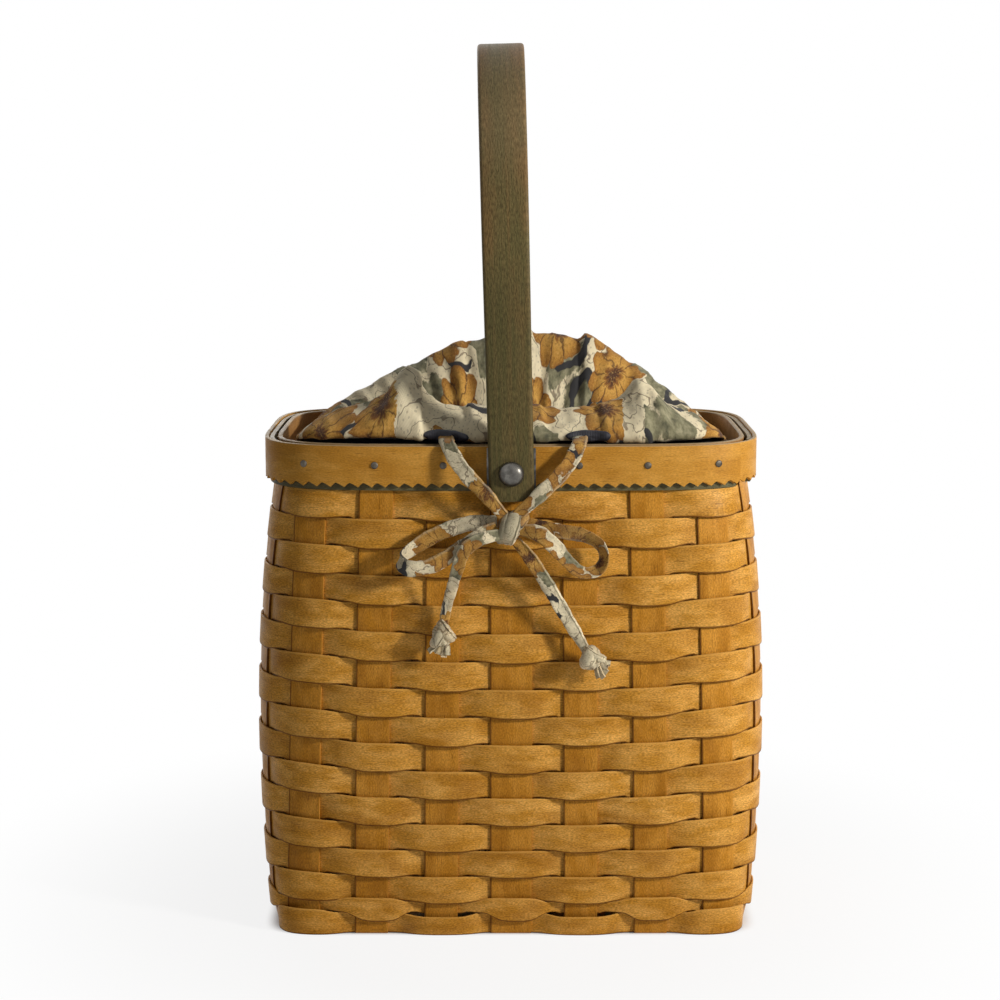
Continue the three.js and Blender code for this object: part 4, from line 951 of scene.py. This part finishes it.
def rim_bands():
    seam = front_angle(SEAM_X, -1, BODY_HEIGHT)
    _, to_angle, total = angle_by_length(BODY_HEIGHT, seam)
    run = np.arange(0, total + BAND_LAP, TOOTH_PITCH / STATIONS_PER_TOOTH)
    past_seam = run - BAND_LAP
    lapped = to_angle(past_seam % total) - 2 * math.pi
    angle = np.where(past_seam < 0, lapped, to_angle(np.clip(past_seam, 0, total)))
    half = (BAND_OUTSIDE - BAND_INSIDE) / 2
    under = mix(half, 0, smooth(BAND_LAP, BAND_LAP + BAND_SKIVE, run))
    over = mix(0, half + SKIVE_GAP, smooth(total - BAND_SKIVE, total - SKIVE_LIP, run))
    foot = BODY_HEIGHT - BAND_HEIGHT + tooth_edge(run)
    rim_band("outer", "rim_wood", RIM_WOOD, run, angle, BAND_INSIDE + over, BAND_OUTSIDE - under,
             BODY_HEIGHT, foot, BAND_SEED, BAND_ROUND)

    trim_start = front_angle(TRIM_END_X, -1, BODY_HEIGHT)
    _, to_angle, total = angle_by_length(BODY_HEIGHT, trim_start)
    run = np.linspace(TRIM_GAP, total, BAND_STATIONS)
    rim_band("trim", "stained_trim", TRIM_WOOD, run, to_angle(run), TRIM_INSIDE, TRIM_OUTSIDE,
             BODY_HEIGHT - TRIM_TOP_DROP, BODY_HEIGHT - TRIM_REACH, TRIM_SEED, TRIM_ROUND)

    run = np.linspace(0, total, BAND_STATIONS, endpoint=False)
    rim_band("inner", "inner_band_wood", INNER_WOOD, run, to_angle(run), INNER_INSIDE, INNER_OUTSIDE,
             BODY_HEIGHT, BODY_HEIGHT - INNER_HEIGHT, INNER_SEED, INNER_ROUND, is_hoop=True)


# Handle

def rounded_outline(half_width, half_depth, radius):
    """Corners of a rounded rectangle, with its middle at the origin."""
    points = []
    for turn, (x, y) in enumerate(((1, 1), (-1, 1), (-1, -1), (1, -1))):
        for step in range(CORNER_STEPS + 1):
            angle = (turn + step / CORNER_STEPS) * math.pi / 2
            points.append((x * (half_width - radius) + radius * math.cos(angle),
                           y * (half_depth - radius) + radius * math.sin(angle)))
    return np.array(points)


def handle():
    """The bent handle, built upright about its pivot and then leaned over."""
    reach = WALL_AT_RIVET + LEG_INSIDE + HANDLE_THICK / 2
    spring = HANDLE_TOP - HANDLE_THICK / 2 - ARCH_RISE - PIVOT_HEIGHT
    leg = np.linspace(-HANDLE_TAIL, spring, LEG_STATIONS, endpoint=False)
    turn = np.linspace(math.pi, 0, ARCH_STATIONS)
    y = np.concatenate([np.full(len(leg), -reach), reach * np.cos(turn), np.full(len(leg), reach)])
    z = np.concatenate([leg, spring + ARCH_RISE * np.sin(turn), leg[::-1]])
    path = vectors(0, y, z)
    ahead = unit(np.gradient(path, axis=0))
    out = vectors(0, -ahead[:, 2], ahead[:, 1])
    run = run_along(path)[:, None]
    share = (z + HANDLE_TAIL) / (z.max() + HANDLE_TAIL)
    half = mix(HANDLE_FOOT_WIDTH, HANDLE_TOP_WIDTH, share) / 2
    rings = np.array([rounded_outline(width, HANDLE_THICK / 2, HANDLE_EDGE) for width in half])
    points = path[:, None, :] + rings[..., :1] * np.array([1.0, 0, 0]) + rings[..., 1:] * out[:, None, :]
    grip = smooth(*GRIP_SHARES, share)[:, None]
    # Painted highlight on the bend below the top
    wear_and_highlight = bump_shape(z, 1, z.max() - HIGHLIGHT_DROP, HIGHLIGHT_SPREAD, 2)[:, None]
    grain = vectors(run * MM, (rings[..., 0] + GRAIN_TURN * rings[..., 1]) * MM, HANDLE_SEED)
    place = vectors(grip, rings[..., 0] / half[:, None], wear_and_highlight)
    lean = -math.radians(HANDLE_LEAN)
    x = points[..., 0] * math.cos(lean) + points[..., 2] * math.sin(lean)
    z = -points[..., 0] * math.sin(lean) + points[..., 2] * math.cos(lean)
    points = vectors(x, points[..., 1], z + PIVOT_HEIGHT)
    make_piece("bent_handle", points, HANDLE_WOOD, body="swing_handle", slot="handle_wood", node="handle",
               grain=grain, place=place)


# Rivets and tacks

def dome_profile(diameter, height, steps):
    """(radius, reach) pairs of a dome from its rim to near its top."""
    angles = np.arange(steps) / steps * math.pi / 2
    arc = [(diameter / 2 * math.cos(a), height * math.sin(a)) for a in angles]
    return arc + [(diameter * DOME_TIP, height)]


def rivets():
    shank_end = CLINCH_FACE - HEAD_FACE
    tip = shank_end - CLINCH_HEIGHT
    clinch, shank, head = CLINCH_SIZE / 2, RIVET_SHANK / 2, RIVET_HEAD / 2
    profile = [(CLINCH_EDGE, tip), (clinch - CLINCH_EDGE, tip), (clinch, tip + CLINCH_EDGE),
               (clinch, shank_end), (shank, shank_end), (shank, 0), (head - HEAD_EDGE, 0),
               (head, HEAD_EDGE)]
    dome = dome_profile(RIVET_HEAD, RIVET_DOME, RIVET_STEPS)
    profile += [(radius, max(reach, RIVET_LIP)) for radius, reach in dome]
    for side, sign in (("front", -1), ("back", 1)):
        start = (0, sign * (WALL_AT_RIVET + HEAD_FACE), PIVOT_HEIGHT)
        rings = lathe(profile, RIVET_SIDES, start, (0, sign, 0))
        make_piece(f"rivet_dome_{side}", rings, PEWTER, slot="pewter", node=f"rivet_{side}")


def tack(name, angle, gap, node=None):
    point, normal = wall_point(angle, TACK_HEIGHT)
    length = BAND_OUTSIDE + SPLINT_THICK / 2
    dome = [(radius, gap + reach) for radius, reach in dome_profile(TACK_HEAD, TACK_DOME, TACK_STEPS)]
    profile = [(TACK_TIP, -length), (TACK_SHANK / 2, -length + TACK_SHANK), (TACK_SHANK / 2, 0),
               (TACK_HEAD / 2 - TACK_EDGE, 0), (TACK_HEAD / 2, gap / 2)] + dome
    rings = lathe(profile, TACK_SIDES, point + normal * BAND_OUTSIDE, normal)
    make_piece(name, rings, TACK_STEEL, slot="tack_steel", node=node)


def tacks():
    for side, sign, places in (("front", -1, CROSS_PLACES), ("back", 1, CROSS_PLACES[::-1])):
        for index, place in enumerate(places[places != 0]):
            angle = front_angle(cross_x(place, TACK_HEIGHT), sign, TACK_HEIGHT)
            tack(f"tack_head_{side}_{index + 1}", angle, FRONT_TACK_GAP, f"tack_{side}_{index + 1}")
    for side, sign in (("right", 1), ("left", -1)):
        for index, place in enumerate(LONG_PLACES[1:-1]):
            angle = end_angle(long_y(place, TACK_HEIGHT), sign, TACK_HEIGHT)
            tack(f"tack_head_{side}_{index + 1}", angle, END_TACK_GAP)


# Liner

def crest_height(x, facing):
    front = FRONT_ROLL + sum(bump_shape(x, *swell) for swell in FRONT_SWELLS)
    towards = smooth(END_TURN, 1, np.abs(facing))
    is_left = x < BACK_RIDGE[1]
    back = bump_shape(x, *BACK_RIDGE, np.where(is_left, *BACK_SPREADS), np.where(is_left, *BACK_POWERS))
    return mix(-END_DIP, np.where(facing < 0, front, back), towards)


def even_ring(z, distance):
    """Points at even steps round the wall at a height, pushed out from it by a distance."""
    _, to_angle, total = angle_by_length(z, 0)
    return pushed(to_angle(np.arange(LINER_COLUMNS) / LINER_COLUMNS * total), z, distance)


def curve(stops, steps, power):
    """A smooth curve through points or rings, paced by a power of the distances between them."""
    stops = np.asarray(stops, float)
    padded = np.concatenate([2 * stops[:1] - stops[1:2], stops, 2 * stops[-1:] - stops[-2:-1]])
    made = []
    for i in range(len(stops) - 1):
        p0, p1, p2, p3 = padded[i:i + 4]
        d0, d1, d2 = (np.linalg.norm(q - p) ** power for p, q in ((p0, p1), (p1, p2), (p2, p3)))
        m1 = ((p1 - p0) / d0 - (p2 - p0) / (d0 + d1) + (p2 - p1) / d1) * d1
        m2 = ((p2 - p1) / d1 - (p3 - p1) / (d1 + d2) + (p3 - p2) / d2) * d1
        for t in np.arange(steps) / steps:
            made.append((2 * t**3 - 3 * t**2 + 1) * p1 + (t**3 - 2 * t**2 + t) * m1
                        + (3 * t**2 - 2 * t**3) * p2 + (t**3 - t**2) * m2)
    return np.array(made + [stops[-1]])


def liner_rings():
    """Rings up the inside, rings from the rim to the hem, and how far each column faces back."""
    foot = LINER_FLOOR + LINER_FOOT_RISE
    floor = even_ring(foot, -LINER_ROOM - LINER_FOOT) * (1, 1, 0) + (0, 0, LINER_FLOOR)
    walls = [floor] + [even_ring(z, -LINER_ROOM) for z in (foot, BODY_HEIGHT / 2, WEAVE_TOP)]
    edge = even_ring(BODY_HEIGHT, -LINER_RIM_ROOM)
    half_width, half_depth = TOP_WIDTH / 2 - LINER_RIM_ROOM, TOP_DEPTH / 2 - LINER_RIM_ROOM
    drawn_in = (MOUTH_HALF_LENGTH / half_width, MOUTH_HALF_WIDTH / half_depth, 1)
    mouth = edge * drawn_in - (0, MOUTH_FORWARD, 0)
    facing = edge[:, 1] / half_depth
    height = crest_height(mix(edge, mouth, CREST_SHARE)[:, 0], facing)[:, None]
    at_front = smooth(*ROLL_FACING, -facing)[:, None]
    tops = []
    for stop in LINER_TOPS:
        inward, out, share, lift = (mix(plain, roll, at_front) for plain, roll in zip(*stop))
        ring = mix(edge, mouth, inward) - out * (0, 1, 0)
        tops.append(ring * (1, 1, 0) + (BODY_HEIGHT + share * height + lift) * (0, 0, 1))
    foot_x = tops[ROLL_FOOT][:, :1]
    tops[ROLL_FOOT] += at_front * bump_shape(foot_x, *ROLL_GAP) * (0, 0, 1)
    return curve(walls + tops[:1], WALL_STEPS, EVEN)[:-1], curve(tops, TOP_STEPS, EVEN), facing


def grid_normals(grid):
    round_run = np.roll(grid, -1, axis=1) - np.roll(grid, 1, axis=1)
    up_run = np.gradient(grid, axis=0)
    return unit(np.cross(round_run, up_run) + 1e-9)


def grid_point(grid, along, across):
    """Values of a grid between its rows and columns."""
    row, column = np.floor(along).astype(int), np.floor(across).astype(int)
    v, u = (along - row)[:, None], (across - column)[:, None]
    near = mix(grid[row, column], grid[row, column + 1], u)
    far = mix(grid[row + 1, column], grid[row + 1, column + 1], u)
    return mix(near, far, v)


def pleat(x, depth, at, width, lie):
    """A fold that swells slowly up to an edge and drops away past it."""
    before = (x - at) * -lie
    return depth * np.exp(-(np.maximum(before, 0) / width) ** 2) * smooth(*PLEAT_EDGE, before)


def liner_folds(tops, facing):
    """Pleats over the roll and the back, gathers at the mouth, and small creases everywhere."""
    x = tops[..., 0]
    up = np.linspace(0, 1, len(tops))[:, None]
    slanted = x + PLEAT_SLANT * (up - PLEAT_UPRIGHT)
    front = sum(pleat(slanted, *fold) for fold in FRONT_PLEATS) * smooth(*PLEAT_FACING, -facing)
    back = sum(pleat(x, *fold) for fold in BACK_PLEATS) * smooth(*PLEAT_FACING, facing)
    around = np.arange(tops.shape[1]) / tops.shape[1] * 2 * math.pi
    gathers = sum(weight * np.sin(count * around + sway * np.sin(sways * around + start))
                  for weight, count, sway, sways, start in GATHERS)
    amount = front * smooth(*FRONT_START, up) + back * smooth(*BACK_START, up) * smooth(*BACK_STOP, up)
    amount = amount + GATHER_DEPTH * smooth(*GATHERS_START, up) * gathers
    for depth, size in CRUMPLE:
        creases = [[noise.noise(Vector(point / size)) for point in ring] for ring in tops]
        amount = amount + depth * (1 - CRUMPLE_EDGE * np.abs(np.array(creases)))
    return tops + grid_normals(tops) * (amount * smooth(*FOLDS_START, up))[..., None]


def eyelet(name, tops, x):
    """Black bound opening in the front roll, laid on the cloth, where a tie comes out."""
    middle = len(tops) // 4
    front = np.where(tops[middle, :, 1] < 0)[0]
    column = front[np.argmin(np.abs(tops[middle, front, 0] - x))]
    normals = grid_normals(tops)
    turn = np.arange(EYELET_SIDES) / EYELET_SIDES * 2 * math.pi
    pitch = np.linalg.norm(tops[middle, column + 1] - tops[middle, column])
    row = np.argmin(np.abs(tops[: len(tops) // 2, column, 2] - EYELET_HEIGHT))
    rise = np.linalg.norm(tops[row + 1, column] - tops[row, column])
    rings = []
    for reach, lift in EYELET_SECTION:
        across = column + reach * EYELET_HALF[0] / pitch * np.cos(turn)
        along = row + reach * EYELET_HALF[1] / rise * np.sin(turn)
        rings.append(grid_point(tops, along, across) + grid_point(normals, along, across) * lift)
    make_piece(name, np.array(rings), BINDING, sharp=180)


def liner():
    walls, tops, facing = liner_rings()
    tops = liner_folds(tops, facing)
    outside = np.concatenate([walls, tops])
    inside = outside - grid_normals(outside) * CLOTH_THICK
    levels, count = outside.shape[:2]
    steps = np.linalg.norm(np.diff(outside, axis=0), axis=2).mean(axis=1)
    up = np.concatenate([[0], np.cumsum(steps)])[:, None]
    around = np.arange(count) / count * 2 * (TOP_WIDTH + TOP_DEPTH)
    level = np.arange(levels)[:, None] - len(walls)
    # Share of painted shade under the front roll
    shade_share = smooth(*SHADE_START, level) * smooth(*SHADE_END, level) * smooth(*SHADE_FACING, -facing)
    patch = sum(bump_shape(outside[..., 0], *cream) for cream in CREAM_PATCHES)
    patch = patch * smooth(*CREAM_FACING, -facing)
    flat, place = vectors(around * MM, up * MM, 0.0), vectors(patch, shade_share, 0)
    piece = make_piece("cloth_liner", np.concatenate([outside, inside[::-1]]), LINER_CLOTH, sharp=180,
                       slot="liner_cloth", node="liner", cloth=np.concatenate([flat, flat[::-1]]),
                       place=np.concatenate([place, place[::-1]]))
    for name, x in EYELETS.items():
        eyelet(name, tops, x)


# Ties

def strip_outline():
    """Section of a folded strip: shares of the half width, and lift off each face in millimetres."""
    u = np.cos(np.linspace(0, math.pi, RIBBON_SIDE))
    body = np.sqrt(np.maximum(1 - np.abs(u) ** STRIP_FULLNESS, 0))
    bead = bump_shape(u, *BEAD) - bump_shape(u, *GROOVE)
    face = np.concatenate([u, -u[1:-1]])
    lift = np.concatenate([body, -body[1:-1]])
    hem = np.concatenate([bead, np.zeros(RIBBON_SIDE - 2)])
    return face, lift, hem


def swaying(run, seed, waves):
    return sum(depth * np.sin(run * rate + share * seed) for depth, rate, share in waves)


def strip(path, across, wide, thick, seed, crease=1.0, curl=0.0):
    """Rings of a folded cloth strip along a path, and their two attributes."""
    ahead = unit(np.gradient(path, axis=0))
    side = unit(across - ahead * np.sum(across * ahead, axis=1, keepdims=True))
    out = np.cross(ahead, side)
    face, lift, hem = strip_outline()
    run = run_along(path)[:, None]
    wide = np.reshape(wide, (-1, 1)) * (1 + swaying(run, seed, SLACK_WAVES))
    thick = np.reshape(thick, (-1, 1))
    cup = swaying(run, seed, CUP_WAVES)
    height = lift * thick / 2 + hem * crease + cup * (face**2 - CUP_LEVEL) - curl * face**2
    beside = (face * wide / 2)[..., None]
    points = path[:, None, :] + side[:, None, :] * beside + out[:, None, :] * height[..., None]
    sheet = np.where(lift >= 0, face, SHEET_TURN - face) * wide / 2
    flat = vectors(run * MM + seed * STRIP_SHIFT[0], sheet * MM + seed * STRIP_SHIFT[1], 0)
    place = vectors(np.broadcast_to(bump_shape(face, *BARE_FOLD), points.shape[:2]), 0, 0)
    return points, flat, place


def cloth_piece(name, parts, node=None):
    """One piece of the ties' cloth from parts, each with its rings and their two attributes."""
    faces, start = [], 0
    for points, _, _ in parts:
        faces += [[corner + start for corner in face] for face in sweep_faces(*points.shape[:2])]
        start += points.size // 3
    points, flat, place = (np.concatenate([rings.reshape(-1, 3) for rings in same]) for same in zip(*parts))
    return make_piece(name, points, TIE_CLOTH, faces, sharp=60, slot="tie_cloth", node=node, cloth=flat,
                      place=place)


def ribbon(name, node, stops, seed, scale):
    """A flat cloth tie through stops of place, width direction, width and thickness."""
    path = curve([stop[0] for stop in stops], RIBBON_STEPS, CENTRIPETAL)
    share = np.linspace(0, len(stops) - 1, len(path))
    order = np.arange(len(stops))
    across = np.stack([np.interp(share, order, [stop[1][i] for stop in stops]) for i in range(3)], axis=-1)
    wide = np.interp(share, order, [stop[2] if len(stop) > 2 else TIE_WIDTH for stop in stops]) * scale
    thick = np.interp(share, order, [stop[3] if len(stop) > 3 else TIE_THICK for stop in stops])
    piece = cloth_piece(name, [strip(path, across, wide, thick, seed)], node)
    length = float(run_along(path)[-1]) * MM


def core(centre, half, seed, plain):
    """Bunched cloth inside a knot: a ball, with small rings for its poles."""
    turn = np.arange(BALL_ROUND) / BALL_ROUND * 2 * math.pi
    lift = np.linspace(POLE_GAP - math.pi / 2, math.pi / 2 - POLE_GAP, BALL_UP)[:, None]
    way = vectors(np.cos(turn) * np.cos(lift), np.sin(turn) * np.cos(lift), np.sin(lift))
    puckers = 1 + PUCKER * np.sin(PUCKERS_ROUND * turn + PUCKERS_UP * way[..., 2] + seed)
    away = way * half * puckers[..., None]
    flat = vectors(away[..., 0] * MM + seed * CORE_SHIFT[0], away[..., 2] * MM + seed * CORE_SHIFT[1], 0)
    return centre + away, flat, vectors(np.full_like(puckers, plain), 0, 0)


def wrap(centre, along, half_long, half_deep, wide, seed, plain, half_turns, thick, crease):
    """A strip bent over a knot, from one side to the other, with its middle towards the front."""
    along = unit(np.asarray(along, float))
    front = np.array([0, -1.0, 0])
    sweep = math.pi * half_turns
    turn = np.linspace(-sweep / 2, sweep / 2, WRAP_STATIONS)
    path = centre + np.outer(np.sin(turn) * half_long, along) + np.outer(np.cos(turn) * half_deep, front)
    across = np.broadcast_to(np.cross(front, along), path.shape)
    wide = wide * (1 - WRAP_TAPER * (np.abs(turn) / sweep) ** 2)
    points, flat, place = strip(path, across, wide, thick, seed, crease, WRAP_CURL)
    return points, flat, np.maximum(place, (plain, 0, 0))


def frayed_tip(centre, down, seed):
    """Loose end of a tie: short strips that spread from a knot."""
    down = unit(np.asarray(down, float))
    side = unit(np.cross(down, (0, 1, 0)))
    rng = np.random.default_rng(seed)
    t = np.linspace(0, 1, STRAND_STATIONS)[:, None]
    wide, thick = (np.linspace(*ends, STRAND_STATIONS) for ends in (STRAND_WIDTHS, STRAND_THICKS))
    parts = []
    for spread in np.linspace(-1, 1, STRANDS):
        length = rng.uniform(*STRAND_LENGTHS)
        way = unit(down + side * spread * STRAND_SPREAD + (0, rng.uniform(*STRAND_DEPTHS), 0))
        start = centre + down * STRAND_START + side * spread * STRAND_APART
        path = start + way * length * t + side * STRAND_SWAY * np.sin(STRAND_RATE * t + seed)
        across = np.broadcast_to(side + (0, STRAND_TWIST * spread, 0), path.shape)
        points, flat, place = strip(path, across, wide, thick, seed + spread)
        parts.append((points, flat, np.maximum(place, (STRAND_PLAIN, 0, 0))))
    return parts


def end_knot(name):
    """A tie's end knot: a bunched core, strips wrapped over it and a frayed tip."""
    centre, down, seed, turns = END_KNOTS[name]
    parts = [core(centre, END_CORE, seed, END_CORE_PLAIN)]
    for along, shift, wide in turns:
        parts.append(wrap(np.add(centre, shift), along, *END_WRAP_HALF, wide, seed + wide, END_WRAP_PLAIN,
                          END_WRAP_TURNS, END_WRAP_THICK, END_WRAP_CREASE))
    return cloth_piece(name, parts + frayed_tip(centre, down, seed))


def ties():
    bow = [core(KNOT_PLACE, KNOT_HALF, KNOT_SEED, KNOT_PLAIN)] + [wrap(*values) for values in KNOT_WRAPS]
    knot = cloth_piece("ribbon_knot", bow, "bow_knot")
    left_end, right_end = (end_knot(name) for name in END_KNOTS)
    ribbon("ribbon_tie_left", "tie_left", LEFT_TIE, 1, SLACK_WIDTHS["tie"])
    ribbon("ribbon_tie_right", "tie_right", RIGHT_TIE, 2, SLACK_WIDTHS["tie"])
    ribbon("ribbon_loop_left", "bow_loop_left", LEFT_LOOP, 3, SLACK_WIDTHS["loop"])
    ribbon("ribbon_loop_right", "bow_loop_right", RIGHT_LOOP, 4, SLACK_WIDTHS["loop"])
    ribbon("ribbon_tail_left", "bow_tail_left", LEFT_TAIL, 5, SLACK_WIDTHS["tail"])
    ribbon("ribbon_tail_right", "bow_tail_right", RIGHT_TAIL, 6, SLACK_WIDTHS["tail"])


# Stage

def area_light(name, place, aim, size, power, colour):
    lamp = bpy.data.lights.new(name, "AREA")
    lamp.energy = power
    lamp.size = size
    lamp.color = colour
    made = add_object(name, lamp)
    made.location = place
    made.rotation_euler = (Vector(aim) - Vector(place)).to_track_quat("-Z", "Y").to_euler()


def stage():
    scene = bpy.context.scene
    scene.view_settings.view_transform = "Standard"
    camera = bpy.data.cameras.new("camera")
    camera.lens = CAMERA_LENS
    camera.sensor_width = CAMERA_SENSOR
    scene.camera = add_object("camera", camera)
    scene.camera.location = [x * MM for x in CAMERA_PLACE]
    scene.camera.rotation_euler = (math.radians(90 - CAMERA_PITCH), 0, 0)

    floor = bpy.data.meshes.new("floor")
    corners = [(x * FLOOR_REACH, y * FLOOR_REACH, 0) for x, y in ((-1, -1), (1, -1), (1, 1), (-1, 1))]
    floor.from_pydata(corners, [], [(0, 1, 2, 3)])
    floor.materials.append(paper_white())
    add_object("floor", floor)

    scene.world = bpy.data.worlds.new("studio")
    scene.world.use_nodes = True
    sky = Nodes(scene.world.node_tree)
    soft = sky.tree.nodes["Background"]
    sky.feed(soft.inputs["Color"], grey(SKY_TONE))
    sky.feed(soft.inputs["Strength"], SKY_POWER)
    sky.surface("World Output", sky.seen_directly(), soft, sky.node("Background", {"Color": grey(1.0)}))
    for name, values in LAMPS.items():
        area_light(name, *values)


stage()
ties()
for row in range(ALL_ROWS):
    weaver(row)
uprights()
rim_bands()
handle()
rivets()
tacks()
liner()
for side in ("front", "back"):
    for node in (f"rivet_washer_{side}", f"wear_plate_{side}"):
        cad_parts[node].data.materials.clear()
        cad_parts[node].data.materials.append(DULL_STEEL)
